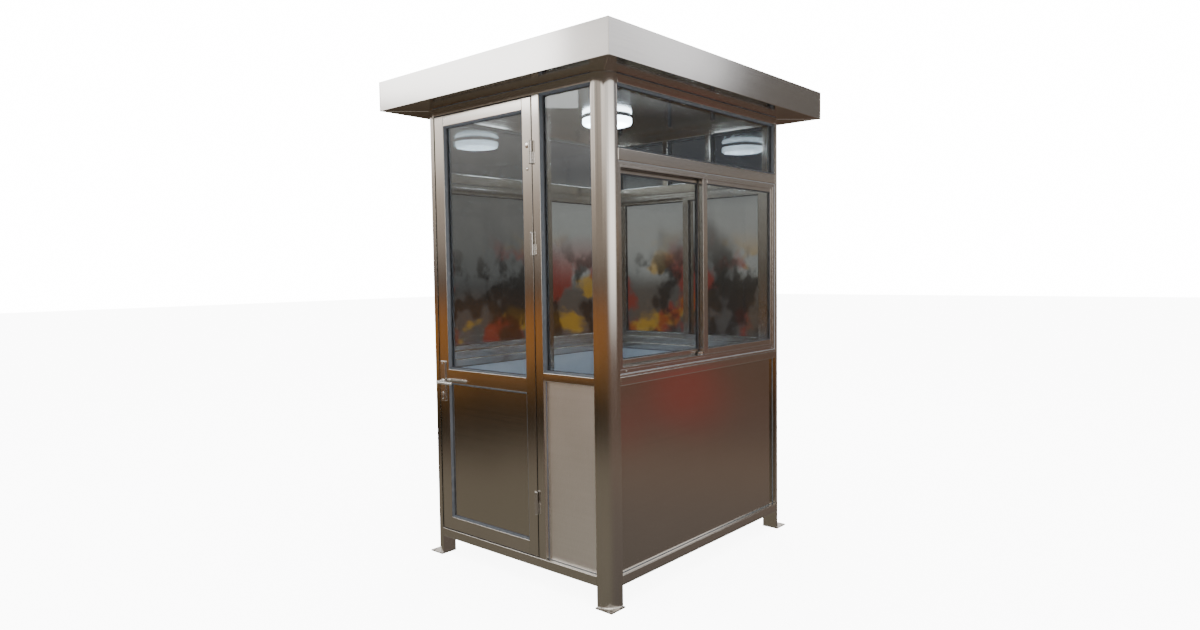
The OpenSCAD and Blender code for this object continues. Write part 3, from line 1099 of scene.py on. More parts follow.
@dataclass
class Infill:
    """The sheet panels and fixed panes of the walls, with their beads."""

    levels: Levels
    bead_w: float = 0.008
    bead_seat: float = 0.0015
    bead_nose: float = 0.006
    bead_in: float = 0.018
    transom_out: float = -0.009
    light_out: float = -0.004
    rubber_w: float = 0.004
    rubber_t: float = 0.003
    lip_w: float = 0.003
    lip_t: float = 0.0035
    fillet: float = 0.004

    def build(self) -> None:
        """Makes the lower panels, the transom panes and the side light."""
        for side in GLAZED:
            name = side.name.lower()
            half = self.levels.half(side)
            self._panel(f"{name}_panel", side, -half, half)
            self._transom(name, side, half)
        low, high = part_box("side_light_panel")
        self._panel("side_light_panel", Side.FRONT, low.x, high.x)
        self._side_light()

    def _panel(self, node: str, side: Side, start: float, end: float) -> None:
        """Makes one lower panel, sheet outside and coated sheet inside.

        Args:
            node: the CAD node that it stands for.
            side: the wall that it is in.
            start: its first end along the wall.
            end: its other end.
        """
        back, front = self.levels.depths(node, side)
        low, high = (start, self.levels.rail[1]), (end, self.levels.sill[0])
        point = self.levels.point(side)
        shape = Shape()
        outside = SIDE_STEEL if side == Side.FRONT else SHEET_STEEL.along(side.grain)
        shape.sheet(low, high, back, front, point, (outside, INNER_SHEET))
        shape.piece(f"{node}_sheets", "panel_sheet", [node])
        lip = [(0, front), (self.lip_w, front), (self.lip_w * 0.7, front + 0.002), (0, front + self.lip_t)]
        fillet = [(0, back), (self.fillet, back), (0, back - self.fillet)]
        trim = Shape()
        trim.ring(low, high, lip, point, BEAD_COAT)
        trim.ring(low, high, fillet, point, SEALANT)
        trim.piece(f"{node}_seal", "panel_sheet")

    def beads(self, shape: Shape, low: Pair, high: Pair, depths: Pair, reach: Pair, point: Placer) -> None:
        """Adds the beads and rubbers that hold a pane on both faces.

        Args:
            shape: what they are added to.
            low: one corner of the pane's opening.
            high: the opposite corner.
            depths: the pane's inner and outer face.
            reach: how far the beads reach, inside and outside.
            point: turns (along, up, out) into a place.
        """
        w, root, soft = self.bead_w, self.bead_w - 0.001, self.rubber_w
        for face, end, way in ((depths[1], reach[1], 1.0), (depths[0], reach[0], -1.0)):
            seat, nose, top = (face + way * up for up in (self.bead_seat, self.bead_nose, self.rubber_t))
            bead = [(0, seat), (w, seat), (w, nose), (w * 0.35, end), (0, end)]
            shape.ring(low, high, bead, point, BEAD_COAT)
            rubber = [(root, face), (w + soft * 0.6, face), (w + soft * 0.3, top), (root, top + way * 0.001)]
            shape.ring(low, high, rubber, point, RUBBER_AND_SHADE)

    def _transom(self, name: str, side: Side, half: float) -> None:
        """Makes the beads of a wall's transom and dresses its panes.

        Args:
            name: the wall's name.
            side: the wall.
            half: half its clear length.
        """
        node = f"{name}_transom_glass"
        depths = self.levels.depths(node, side)
        reach = (depths[0] - self.bead_in, self.transom_out)
        spans = [(-half, half)]
        if side == Side.BACK:
            near, far = (Rails.bar_at + way * Rails.bar_w / 2 for way in (-1, 1))
            spans = [(-half, -far), (-near, near), (far, half)]
        shape = Shape()
        for start, end in spans:
            low, high = (start, self.levels.transom[1]), (end, self.levels.header[0])
            self.beads(shape, low, high, depths, reach, self.levels.point(side))
        shape.piece(f"{name}_transom_beads", "frame_steel")
        dress(node, CLEAR_GLASS)

    def _side_light(self) -> None:
        """Makes the beads of the fixed pane beside the door."""
        low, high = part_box("side_light_glass")
        depths = self.levels.depths("side_light_glass", Side.FRONT)
        reach = (depths[0] - self.bead_in, self.light_out)
        shape = Shape()
        self.beads(shape, (low.x, low.z), (high.x, high.z), depths, reach, self.levels.point(Side.FRONT))
        shape.piece("side_light_beads", "frame_steel")
        dress("side_light_glass", CLEAR_GLASS)


class Lane(Enum):
    """The two tracks of a sliding window."""

    OUTER = "outer"
    INNER = "inner"


@dataclass
class SlidingWindow:
    """A window of two sashes on two tracks."""

    levels: Levels
    side: Side
    jamb_w: float = 0.022
    base_h: float = 0.030
    head_h: float = 0.018
    lip_h: float = 0.010
    lip_t: float = 0.003
    runner: float = 0.003
    meeting_w: float = 0.038
    stile_w: float = 0.014
    bottom_h: float = 0.036
    top_h: float = 0.024
    nosing_h: float = 0.010
    seal: float = 0.0035
    lock_at: float = -0.045
    lock_w: float = 0.020
    drain_shade_w: float = 0.028
    drain_shade_share: float = 0.62
    screw_r: float = 0.0035
    name: str = field(init=False)
    half: float = field(init=False)
    point: Placer = field(init=False)
    foot: float = field(init=False)
    head: float = field(init=False)
    depth: Pair = field(init=False)

    def __post_init__(self) -> None:
        """Works out the opening that the window fills."""
        self.name = self.side.name.lower()
        self.half = self.levels.half(self.side)
        self.point = self.levels.point(self.side)
        self.foot, self.head = self.levels.sill[1], self.levels.transom[0]
        self.depth = self.levels.depths(f"{self.name}_window_frame", self.side)

    def build(self) -> None:
        """Makes the frame, both sashes and the small parts."""
        self._frame()
        for lane in Lane:
            self._sash(lane)
        self._trim()
        dress(f"{self.name}_sash_glass", CLEAR_GLASS)

    def _bar(
        self,
        shape: Shape,
        along: Pair,
        up: Pair,
        out: Pair,
        finish: Finish = WINDOW_STEEL,
        edge: float = 0.0015,
    ) -> None:
        """Adds a bar.

        Args:
            shape: what it is added to.
            along: its two ends along the wall.
            up: its two heights.
            out: its two depths.
            finish: its finish.
            edge: the radius of its edges.
        """
        shape.bar(self.point(along[0], up[0], out[0]), self.point(along[1], up[1], out[1]), finish, edge)

    def _frame(self) -> None:
        """Makes the frame's base, head and jambs, and the lips of its tracks."""
        inner, outer = self.depth
        half, foot, head = self.half, self.foot, self.head
        low, high = foot + self.base_h, head - self.head_h
        clear = (-half + self.jamb_w, half - self.jamb_w)
        shape = Shape()
        for up in ((foot, low), (high, head)):
            self._bar(shape, (-half, half), up, self.depth)
        for sign in (-1, 1):
            self._bar(shape, (sign * half, sign * (half - self.jamb_w)), (low, high), self.depth)
        step = (outer - inner - self.lip_t) / 2
        for k in range(3):
            lip = (inner + k * step, inner + k * step + self.lip_t)
            for up in ((low - 0.001, low + self.lip_h), (high - self.lip_h, high + 0.001)):
                self._bar(shape, clear, up, lip, edge=0.001)
        for k in range(2):
            self._runner(shape, clear, low, inner + self.lip_t / 2 + (k + 0.5) * step)
        shape.piece(f"{self.name}_window_frame_sections", "window_steel", [f"{self.name}_window_frame"])

    def _runner(self, shape: Shape, clear: Pair, low: float, middle: float) -> None:
        """Adds a lane's round runner, which the sash's rollers stand on.

        Args:
            shape: what it is added to.
            clear: its two ends along the wall.
            low: the height that it lies on.
            middle: the depth of its middle.
        """
        out = (middle - self.runner / 2, middle + self.runner / 2)
        self._bar(shape, clear, (low - 0.001, low + self.runner), out, SATIN_STEEL, 0.0012)

    def _sash(self, lane: Lane) -> None:
        """Makes one sash: two stiles, two rails and the rubber round its pane.

        Args:
            lane: the track that it is on.
        """
        node = f"{self.name}_{lane.value}_sash"
        depth = self.levels.depths(node, self.side)
        low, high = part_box(node)
        ends = sorted(self.side.along.dot(corner) for corner in (low, high))
        up = (low.z, high.z)
        widths = (self.meeting_w, self.stile_w) if lane == Lane.OUTER else (self.stile_w, self.meeting_w)
        pane = (ends[0] + widths[0], ends[1] - widths[1])
        pane_up = (up[0] + self.bottom_h, up[1] - self.top_h)
        shape = Shape()
        self._bar(shape, (ends[0], pane[0]), up, depth)
        self._bar(shape, (pane[1], ends[1]), up, depth)
        self._bar(shape, pane, (up[0], pane_up[0]), depth)
        self._bar(shape, pane, (pane_up[1], up[1]), depth)
        middle = sum(depth) / 2
        for way in (1, -1):
            face = middle + way * 0.003
            lip = [(0, face), (0.005, face), (0.004, face + way * 0.003), (0, face + way * 0.0045)]
            shape.ring((pane[0], pane_up[0]), (pane[1], pane_up[1]), lip, self.point, RUBBER_AND_SHADE)
        self._pile(shape, lane, ends, up, depth)
        shape.piece(f"{node}_sections", "window_steel", [node])

    def _pile(self, shape: Shape, lane: Lane, ends: Sequence[float], up: Pair, depth: Pair) -> None:
        """Adds the brush strip on the meeting stile, towards the other sash.

        Args:
            shape: what it is added to.
            lane: the sash's lane.
            ends: the sash's two ends along the wall.
            up: its two heights.
            depth: its inner and outer face.
        """
        if lane == Lane.OUTER:
            start, near, reach = ends[0] + 0.016, depth[0], depth[0] - 0.003
        else:
            start, near, reach = ends[1] - 0.022, depth[1], depth[1] + 0.003
        strip = (start, start + 0.006)
        self._bar(shape, strip, (up[0] + 0.004, up[1] - 0.004), (near, reach), BLACK_PLASTIC_AND_SHADE, 0.001)

    def _trim(self) -> None:
        """Makes the nosing, the sealant, the lock, the drain slots as thin black plates of painted shade, and
        the screws.
        """
        outer = self.depth[1]
        half, foot, head = self.half, self.foot, self.head
        nosing = foot + self.nosing_h
        shape = Shape()
        self._bar(shape, (-half, half), (foot, nosing), (outer, -0.0005), SATIN_STEEL, 0.0022)
        seal = [(0, outer), (self.seal, outer), (0, outer + self.seal)]
        shape.ring((-half, nosing), (half, head), seal, self.point, SEALANT)
        self._lock(shape)
        # The drain slots are thin black plates on the base: painted shade where the holes are.
        for start in (-half * self.drain_shade_share, half * self.drain_shade_share):
            slot = (start, start + self.drain_shade_w)
            self._bar(shape, slot, (foot + 0.016, foot + 0.020), (outer, outer + 0.0004), RUBBER_AND_SHADE, 0.0002)
        for along, up in ((-half + 0.045, foot + 0.021), (half - 0.030, foot + 0.021), (0.0, head - 0.009)):
            shape.screw(self.point(along, up, outer), self.side.out, self.screw_r)
        shape.piece(f"{self.name}_window_trim", "window_steel")

    def _lock(self, shape: Shape) -> None:
        """Adds the window lock at the foot of the meeting stiles, a block with a knob on it.

        Args:
            shape: what it is added to.
        """
        start, base, top = self.lock_at, self.foot + self.base_h, self.foot + self.base_h + 0.014
        lane = (self.depth[1] - 0.027, self.depth[1] - 0.005)
        knob = (start + 0.004, start + self.lock_w - 0.004)
        self._bar(shape, (start, start + self.lock_w), (base, top), lane, BLACK_PLASTIC_AND_SHADE, 0.002)
        self._bar(shape, knob, (top, base + 0.024), lane, BROWN_PLASTIC, 0.002)


@dataclass
class Door:
    """The hinged leaf with its panes, beads, hinges, lock and lever."""

    levels: Levels
    latch_stile_w: float = 0.068
    hinge_stile_w: float = 0.058
    edge: float = 0.0025
    seal_t: float = 0.003
    bead_reach: Pair = (-0.043, -0.003)
    hinge_l: float = 0.100
    hinge_drops: Pair = (0.706, 0.297)
    barrel_r: float = 0.008
    cap_h: float = 0.003
    low: Vector = field(init=False)
    high: Vector = field(init=False)
    point: Placer = field(init=False)
    opening: Pair = field(init=False)

    def __post_init__(self) -> None:
        """Works out where the leaf and its opening are."""
        self.low, self.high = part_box("door_frame")
        self.point = self.levels.point(Side.FRONT)
        self.opening = (self.low.x + self.latch_stile_w, self.high.x - self.hinge_stile_w)

    def build(self) -> None:
        """Makes the leaf, its fittings and what it closes against."""
        self._leaf()
        self._infill()
        self._stops()
        self._hinges()
        Handle(self.low.x).build()

    def _leaf(self) -> None:
        """Makes the two stiles and the three rails between them."""
        low, high, (x0, x1) = self.low, self.high, self.opening
        panel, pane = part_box("door_panel"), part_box("door_glass")
        shape = Shape()
        shape.bar(low, (x0, high.y, high.z), FRAME_STEEL, self.edge)
        shape.bar((x1, low.y, low.z), high, FRAME_STEEL, self.edge)
        for z0, z1 in ((low.z, panel[0].z), (panel[1].z, pane[0].z), (pane[1].z, high.z)):
            shape.bar((x0, low.y, z0), (x1, high.y, z1), FRAME_STEEL, self.edge)
        shape.piece("door_frame_tubes", "frame_steel", ["door_frame"], "door")

    def _infill(self) -> None:
        """Makes the lower sheet and the beads round the sheet and the pane."""
        corners = {}
        for node in ("door_panel", "door_glass"):
            low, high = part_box(node)
            corners[node] = (self.opening[0], low.z), (self.opening[1], high.z)
        steel = SHEET_STEEL.along(Axis.X)
        shape = Shape()
        depths = self.levels.depths("door_panel", Side.FRONT)
        shape.sheet(*corners["door_panel"], *depths, self.point, (steel, steel), 0.0005)
        shape.piece("door_panel_sheet", "panel_sheet", ["door_panel"], "door")
        trim = Shape()
        for node, (low, high) in corners.items():
            depths = self.levels.depths(node, Side.FRONT)
            Infill(self.levels).beads(trim, low, high, depths, self.bead_reach, self.point)
        trim.piece("door_beads", "frame_steel", body="door")
        dress("door_glass", CLEAR_GLASS)

    def _stops(self) -> None:
        """Makes the stop bars behind the leaf, with their rubber bulbs."""
        low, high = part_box("door_stops")
        w = high.y - low.y
        shape = Shape()
        for x0, x1 in ((low.x, low.x + w), (high.x - w, high.x)):
            shape.bar((x0, low.y, low.z), (x1, high.y, high.z), FRAME_STEEL, 0.001)
            middle = (x0 + x1) / 2
            self._bulb(shape, [(middle, low.y, z) for z in (low.z + 0.002, high.z - w - 0.004)])
        start, end, z = low.x + w, high.x - w, high.z - w / 2
        shape.bar((start + 0.001, low.y, high.z - w), (end - 0.001, high.y, high.z), FRAME_STEEL, 0.001)
        self._bulb(shape, [(x, low.y, z) for x in (start + 0.002, end - 0.002)])
        shape.piece("door_stops_bars", "frame_steel", ["door_stops"])

    def _bulb(self, shape: Shape, path: Sequence[Triple]) -> None:
        """Adds a rubber bulb along a path."""
        shape.rod(path, lambda share: self.seal_t, RUBBER_AND_SHADE, 12)

    def _hinges(self) -> None:
        """Dresses the hinges and adds their caps, their welds and the plug welds beside them."""
        for node in ("frame_hinges", "door_hinges"):
            dress(node, SATIN_STEEL)
        low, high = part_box("frame_hinges")
        leaf_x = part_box("door_hinges")[0].x
        barrel, cap_h = self.barrel_r, self.cap_h
        x, y, face = low.x + barrel, low.y + barrel, -self.levels.half_d - 0.001
        cap = [(0.0, 0.0), (barrel * 0.55, 0.0), (barrel * 0.9, 0.0012), (barrel * 0.97, cap_h)]
        under = [(r, h - cap_h) for r, h in cap] + [(0.0, 0.0)]
        over = [(r, cap_h - h) for r, h in cap] + [(0.0, 0.0)]
        starts = (low.z, *(self.high.z - drop for drop in self.hinge_drops))
        root, leaf = Shape(), Shape()
        for z in starts:
            middle, end = z + self.hinge_l / 2, z + self.hinge_l
            root.turned(under, Matrix.Translation((x, y, z)), SATIN_STEEL, 24)
            leaf.turned(over, Matrix.Translation((x, y, end)), SATIN_STEEL, 24)
            root.weld((high.x, face, z + 0.002), (high.x, face, middle - 0.003))
            leaf.weld((leaf_x, face, middle + 0.003), (leaf_x, face, end - 0.002))
        self._plug_welds(leaf, starts[-1])
        root.piece("frame_hinge_caps", "hardware")
        leaf.piece("door_hinge_caps", "hardware", body="door")

    def _plug_welds(self, shape: Shape, z: float) -> None:
        """Adds the two ground plug welds on the stile beside the top hinge.

        Args:
            shape: what they are added to.
            z: the height of the hinge's foot.
        """
        dome = ((1.0, 0.0), (0.85, 0.0007), (0.6, 0.0014), (0.3, 0.0018), (0.0, 0.0019))
        x, face = self.high.x - 0.026, -self.levels.half_d
        for up, radius in ((0.085, 0.014), (-0.022, 0.008)):
            profile = [(radius * share, height) for share, height in dome]
            shape.turned(profile, aimed((x, face, z + up), (0, -1, 0)), WELD_STEEL, 28)


@dataclass(frozen=True)
class EdgePart:
    """A flat part of the lock, on the leaf's edge or on the post beside it.

    Attributes:
        reach: its two sides, across from the face that it lies on.
        half_w: half its width, through the leaf.
        span: its foot and top, from the middle of the lock case.
        finish: its finish.
        edge: the radius of its edges.
    """

    reach: Pair
    half_w: float
    span: Pair
    finish: Finish
    edge: float

    def add(self, shape: Shape, x: float, y: float, z: float) -> None:
        """Adds the part to a shape, on the face at x, round the middle (y, z)."""
        low = (x + self.reach[0], y - self.half_w, z + self.span[0])
        high = (x + self.reach[1], y + self.half_w, z + self.span[1])
        shape.bar(low, high, self.finish, self.edge)


LATCH = (
    EdgePart((-0.001, 0.0), 0.011, (-0.11, 0.11), SATIN_STEEL, 0.0004),
    EdgePart((-0.0055, 0.0), 0.006, (0.015, 0.038), WELD_STEEL, 0.002),
    EdgePart((-0.0025, 0.0), 0.006, (-0.050, -0.018), WELD_STEEL, 0.001),
)
# On the strike, the two black rubber patches are painted shade where the bolts' openings are.
STRIKE = (
    EdgePart((0.0, 0.0012), 0.012, (-0.085, 0.085), SATIN_STEEL, 0.0005),
    EdgePart((0.001, 0.0014), 0.008, (0.008, 0.044), RUBBER_AND_SHADE, 0.0002),
    EdgePart((0.001, 0.0014), 0.008, (-0.056, -0.012), RUBBER_AND_SHADE, 0.0002),
)
NOSE_TURNS = (0.5, 0.9, 1.2, 1.45)


@dataclass
class Handle:
    """The lever handle on its plates, with the lock under it."""

    leaf_edge: float
    grip_r: float = 0.008
    bend_r: float = 0.016
    lock_down: float = 0.062
    case_down: float = 0.03
    corner_r: float = 0.006
    collar_r: float = 0.0135
    low: Vector = field(init=False)
    high: Vector = field(init=False)
    axis_x: float = field(init=False)
    axis_z: float = field(init=False)
    tip_x: float = field(init=False)
    grips: Pair = field(init=False)

    def __post_init__(self) -> None:
        """Works out where the plates and the lever are."""
        self.low, self.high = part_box("handle_plates")
        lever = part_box("lever")
        self.axis_x = lever[0].x + self.grip_r
        self.axis_z = (lever[0].z + lever[1].z) / 2
        self.tip_x = lever[1].x
        self.grips = (lever[0].y + self.grip_r, lever[1].y - self.grip_r)

    def build(self) -> None:
        """Makes the plates, the lock, the lever and the latch."""
        self._plates()
        self._lever()
        self._latch()

    def _plates(self) -> None:
        """Makes the two plates, each with two screws, a collar and a lock cylinder."""
        plate_t = (self.high.y - self.low.y - self.leaf_thickness()) / 2
        corners = rounded_rectangle((self.low.x, self.low.z), (self.high.x, self.high.z), self.corner_r)
        bore = self.grip_r + 0.0006
        collar = [(self.collar_r, 0.0), (self.collar_r, 0.002), (0.012, 0.004), (bore, 0.0045), (bore, 0.0)]
        shape = Shape()
        for face, way in ((self.low.y, -1), (self.high.y, 1)):
            place = aimed((0.0, face - way * plate_t, 0.0), (0, way, 0))
            flip, level = place.to_3x3().col[0].x, place.to_3x3().col[1].z
            shape.prism([(flip * x, level * z) for x, z in corners], plate_t, place, SATIN_STEEL, 0.002)
            self._lock(shape, (self.axis_x, face, self.axis_z - self.lock_down), way)
            for z in (self.low.z + 0.012, self.high.z - 0.012):
                shape.screw((self.axis_x, face, z), (0, way, 0), 0.0042)
            shape.turned(collar, aimed((self.axis_x, face, self.axis_z), (0, way, 0)), SATIN_STEEL, 32)
        shape.piece("handle_plates_set", "hardware", ["handle_plates"], "door")

    @staticmethod
    def leaf_thickness() -> float:
        """Returns the thickness of the leaf."""
        low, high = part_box("door_frame")
        return high.y - low.y

    def _lock(self, shape: Shape, at: Triple, way: int) -> None:
        """Adds a profile cylinder with its key slot drawn as a thin black plate of painted shade.

        Args:
            shape: what it is added to.
            at: the middle of its round part, on the plate.
            way: -1 outside, 1 inside.
        """
        place = aimed(at, (0, way, 0))
        level = place.to_3x3().col[1].z
        outline = arc((0.0, 0.0), 0.0085, -54, 234, 24) + arc((0.0, -0.0195), 0.005, 180, 360, 8)
        outline = [(x, level * z) for x, z in outline]
        shape.prism(outline, 0.003, place, SATIN_STEEL, 0.0005)
        shape.turned([(0.0065, 0.003), (0.0065, 0.0036), (0.006, 0.004), (0.0, 0.004)], place, WELD_STEEL, 24)
        # The key slot is a thin black plate on the plug: painted shade where the keyway is.
        slot = [(-0.0008, -0.004), (0.0008, -0.004), (0.0008, 0.004), (-0.0008, 0.004)]
        shape.prism(slot, 0.0004, place @ Matrix.Translation((0, 0, 0.0038)), RUBBER_AND_SHADE, 0.0001)

    def _lever(self) -> None:
        """Makes the lever, a round bar bent at each side of the leaf."""
        bend, z = self.bend_r, self.axis_z
        start, end = self.axis_x + bend, self.tip_x - self.grip_r
        shape = Shape()
        for grip_y, way in zip(self.grips, (-1, 1)):
            seat = self.low.y if way < 0 else self.high.y
            path = [(self.axis_x, seat - way * 0.004, z)]
            for x, y in arc((0.0, 0.0), bend, 180, 90, 10):
                path.append((start + x, grip_y + way * (y - bend), z))
            path += [(start + (end - start) * i / 8, grip_y, z) for i in range(1, 9)]
            nose = [(end + self.grip_r * 0.92 * math.sin(turn), grip_y, z) for turn in NOSE_TURNS]
            shape.rod(path + nose, self._thickness(len(path)), SATIN_STEEL, 20)
        shape.piece("lever_bar", "hardware", ["lever"], "lever")

    def _thickness(self, straight: int) -> Callable[[float], float]:
        """Works out how thick the lever is, drawn in at its tip.

        Args:
            straight: how many of its points come before the tip.

        Returns:
            A function that gives its radius at a share of its path.
        """
        last = straight + len(NOSE_TURNS) - 1

        def radius(share: float) -> float:
            """Returns the radius at a share of the path."""
            step = round(share * last)
            if step >= straight:
                return self.grip_r * 0.94 * math.cos(NOSE_TURNS[step - straight])
            return self.grip_r * (1.0 - 0.06 * share)

        return radius

    def _latch(self) -> None:
        """Makes the latch plate and bolts on the leaf's edge, and the strike on the post."""
        y, z = (self.low.y + self.high.y) / 2, self.axis_z - self.case_down
        leaf, strike = Shape(), Shape()
        for part in LATCH:
            part.add(leaf, self.leaf_edge, y, z)
        for offset in (-0.1, 0.1):
            leaf.screw((self.leaf_edge - 0.001, y, z + offset), (-1, 0, 0), 0.0032)
        leaf.piece("door_latch", "hardware", body="door")
        post_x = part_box("post_front_left")[1].x
        for part in STRIKE:
            part.add(strike, post_x, y, z)
        strike.piece("door_strike", "hardware")


@dataclass
class Roof:
    """The fascia box, its soffit, the roof sheet and the ceiling."""

    levels: Levels
    sheet_t: float = 0.003
    edge: float = 0.0022
    lip: float = 0.020
    seam_r: float = 0.0009
    soffit_shade_r: float = 0.0022
    lap_half: float = 0.020
    lap_t: float = 0.0015
    lap_inset: float = 0.012

    def build(self) -> None:
        """Makes the fascia and the seams, and dresses the sheets."""
        low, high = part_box("fascia")
        corner, other = (low.x, low.y), (high.x, high.y)
        t, r = self.sheet_t, self.edge
        profile = [
            (t, low.z), (r, low.z), (r * 0.3, low.z + r * 0.3), (0.0, low.z + r),
            (0.0, high.z - r), (r * 0.3, high.z - r * 0.3), (r, high.z),
            (self.lip, high.z), (self.lip, high.z - t), (t, high.z - t),
        ]
        shape = Shape()
        shape.ring(corner, other, profile, self._level, FASCIA_STEEL)
        shape.piece("fascia_sheets", "frame_steel", ["fascia"])
        seams = Shape()
        for x in corner[0], other[0]:
            for y in corner[1], other[1]:
                seams.weld((x, y, low.z + 0.001), (x, y, high.z - 0.001))
                self._soffit_seam(seams, x, y, low.z)
        seams.piece("fascia_corner_welds", "frame_steel")
        self._soffit_shade_and_sealant(low.z)
        self._lap()
        for node in ("soffit", "ceiling"):
            dress(node, MIRROR_STEEL)
        dress("roof_sheet", FASCIA_STEEL.along(Axis.Y))

    @staticmethod
    def _level(x: float, y: float, z: float) -> Vector:
        """Returns a place from its plan and height."""
        return Vector((x, y, z))

    def _soffit_seam(self, shape: Shape, x: float, y: float, z: float) -> None:
        """Adds the seam across the soffit's corner, from the fascia to the post."""
        levels = self.levels
        near = (math.copysign(levels.half_w - 0.02, x), math.copysign(levels.half_d - 0.02, y), z)
        shape.weld((x, y, z), near, self.seam_r)

    def _soffit_shade_and_sealant(self, soffit: float) -> None:
        """Adds a black rod under the soffit round the cabin, painted shade along that joint, and the sealant
        on the roof inside the fascia.

        Args:
            soffit: the height of the soffit.
        """
        shape = Shape()
        # The black rod under the soffit is painted shade along its joint with the walls.
        for side in Side:
            half, point = self.levels.half(side), self.levels.point(side)
            path = [point(along, soffit - 0.0005, 0.0) for along in (-half, half)]
            shape.rod(path, lambda share: self.soffit_shade_r, RUBBER_AND_SHADE, 8)
        low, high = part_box("roof_sheet")
        fillet = [(0.0, high.z), (0.010, high.z), (0.003, high.z + 0.003), (0.0, high.z + 0.009)]
        shape.ring((low.x, low.y), (high.x, high.y), fillet, self._level, SEALANT)
        shape.piece("roof_seal_and_soffit_shade", "roof_sheeting")

    def _lap(self) -> None:
        """Makes the strip over the joint in the middle of the roof sheet."""
        low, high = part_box("roof_sheet")
        start = (low.x + self.lap_inset, -self.lap_half, high.z)
        end = (high.x - self.lap_inset, self.lap_half, high.z + self.lap_t)
        Shape().bar(start, end, FASCIA_STEEL, 0.0006).piece("roof_lap", "roof_sheeting")


@dataclass
class Cabin:
    """The deck and the ceiling lamp."""

    rim_r: float = 0.012
    base_t: float = 0.008
    base_in: float = 0.006
    trim_t: float = 0.0006
    sides: int = 72

    def build(self) -> None:
        """Dresses the deck and makes the lamp."""
        dress("floor_deck", DECK_COAT)
        low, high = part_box("ceiling_lamp")
        radius = (high.x - low.x) / 2
        centre = ((low.x + high.x) / 2, (low.y + high.y) / 2)
        base, inner, outer = high.z - self.base_t, radius - self.base_in, radius + self.trim_t
        rim = arc((radius - self.rim_r, low.z + self.rim_r), self.rim_r, -90, 0, 8)
        opal = OpalLight("opal_cover", (0.80, 0.90, 1.0), 26.0, centre, radius)
        cover = [(0.0, low.z), (radius * 0.6, low.z), *rim, (radius, base), (0.0, base)]
        plate = [(inner, base), (inner, high.z), (0.0, high.z)]
        trim = [(radius, base - 0.002), (outer, base - 0.001), (outer, base + 0.001), (inner, base + 0.001)]
        place = Matrix.Translation((*centre, 0.0))
        shape = Shape()
        for profile, finish in ((cover, opal), (plate, LAMP_BASE), (trim, SATIN_STEEL)):
            shape.turned(profile, place, finish, self.sides)
        shape.piece("ceiling_lamp_set", "lamp_diffuser", ["ceiling_lamp"])


# ---------------------------------------------------------------- studio


@dataclass(frozen=True)
class SoftBox:
    """A rectangular studio light."""

    name: str
    at: Triple
    aim: Triple
    size: Pair
    power: float

    def build(self) -> None:
        """Puts the light in the scene."""
        light = bpy.data.lights.new(self.name, "AREA")
        light.shape = "RECTANGLE"
        light.size, light.size_y = self.size
        light.energy = self.power
        made = bpy.data.objects.new(self.name, light)
        turn = (Vector(self.aim) - Vector(self.at)).to_track_quat("-Z", "Y").to_matrix().to_4x4()
        made.matrix_world = Matrix.Translation(self.at) @ turn
        bpy.context.scene.collection.objects.link(made)


def ray(graph: Graph, kind: str) -> Value:
    """Returns one fact of the light path, by its name."""
    return graph.node("ShaderNodeLightPath", out=kind)


# Each stop is (z of the direction, mapped from -1..1 to 0..1, then the tone there).
BRIGHT_TONES: tuple[Stop, ...] = (
    (0.10, (0.55, 0.53, 0.50)),
    (0.30, (0.21, 0.19, 0.15)),
    (0.375, (0.22, 0.19, 0.145)),
    (0.389, (0.15, 0.12, 0.09)),
    (0.402, (0.03, 0.022, 0.014)),
    (0.414, (0.025, 0.016, 0.009)),
    (0.424, (0.08, 0.042, 0.012)),
    (0.446, (0.34, 0.155, 0.045)),
    (0.470, (0.42, 0.16, 0.03)),
    (0.493, (0.12, 0.095, 0.075)),
    (0.517, (0.36, 0.31, 0.265)),
    (0.55, (0.60, 0.51, 0.43)),
    (0.58, (1.55, 1.42, 1.30)),
    (0.64, (2.3, 2.22, 2.14)),
    (0.68, (1.6, 1.56, 1.54)),
    (0.73, (0.62, 0.63, 0.66)),
    (1.0, (0.5, 0.5, 0.51)),
)
DIM_TONES: tuple[Stop, ...] = (
    (0.10, (0.55, 0.53, 0.50)),
    (0.30, (0.15, 0.13, 0.115)),
    (0.35, (0.18, 0.15, 0.13)),
    (0.38, (0.22, 0.165, 0.13)),
    (0.40, (0.16, 0.11, 0.09)),
    (0.43, (0.15, 0.095, 0.07)),
    (0.47, (0.15, 0.10, 0.08)),
    (0.50, (0.15, 0.12, 0.09)),
    (0.52, (0.32, 0.245, 0.19)),
    (0.55, (0.26, 0.235, 0.215)),
    (0.60, (0.22, 0.22, 0.24)),
    (1.0, (0.40, 0.40, 0.41)),
)
BEHIND_TONES: tuple[Stop, ...] = (
    (0.0, (0.30, 0.29, 0.28)),
    (0.38, (0.16, 0.145, 0.13)),
    (0.44, (0.09, 0.07, 0.055)),
    (0.49, (0.13, 0.105, 0.09)),
    (0.50, (0.40, 0.37, 0.34)),
    (0.54, (0.40, 0.375, 0.35)),
    (0.56, (0.06, 0.062, 0.075)),
    (1.0, (0.045, 0.05, 0.065)),
)


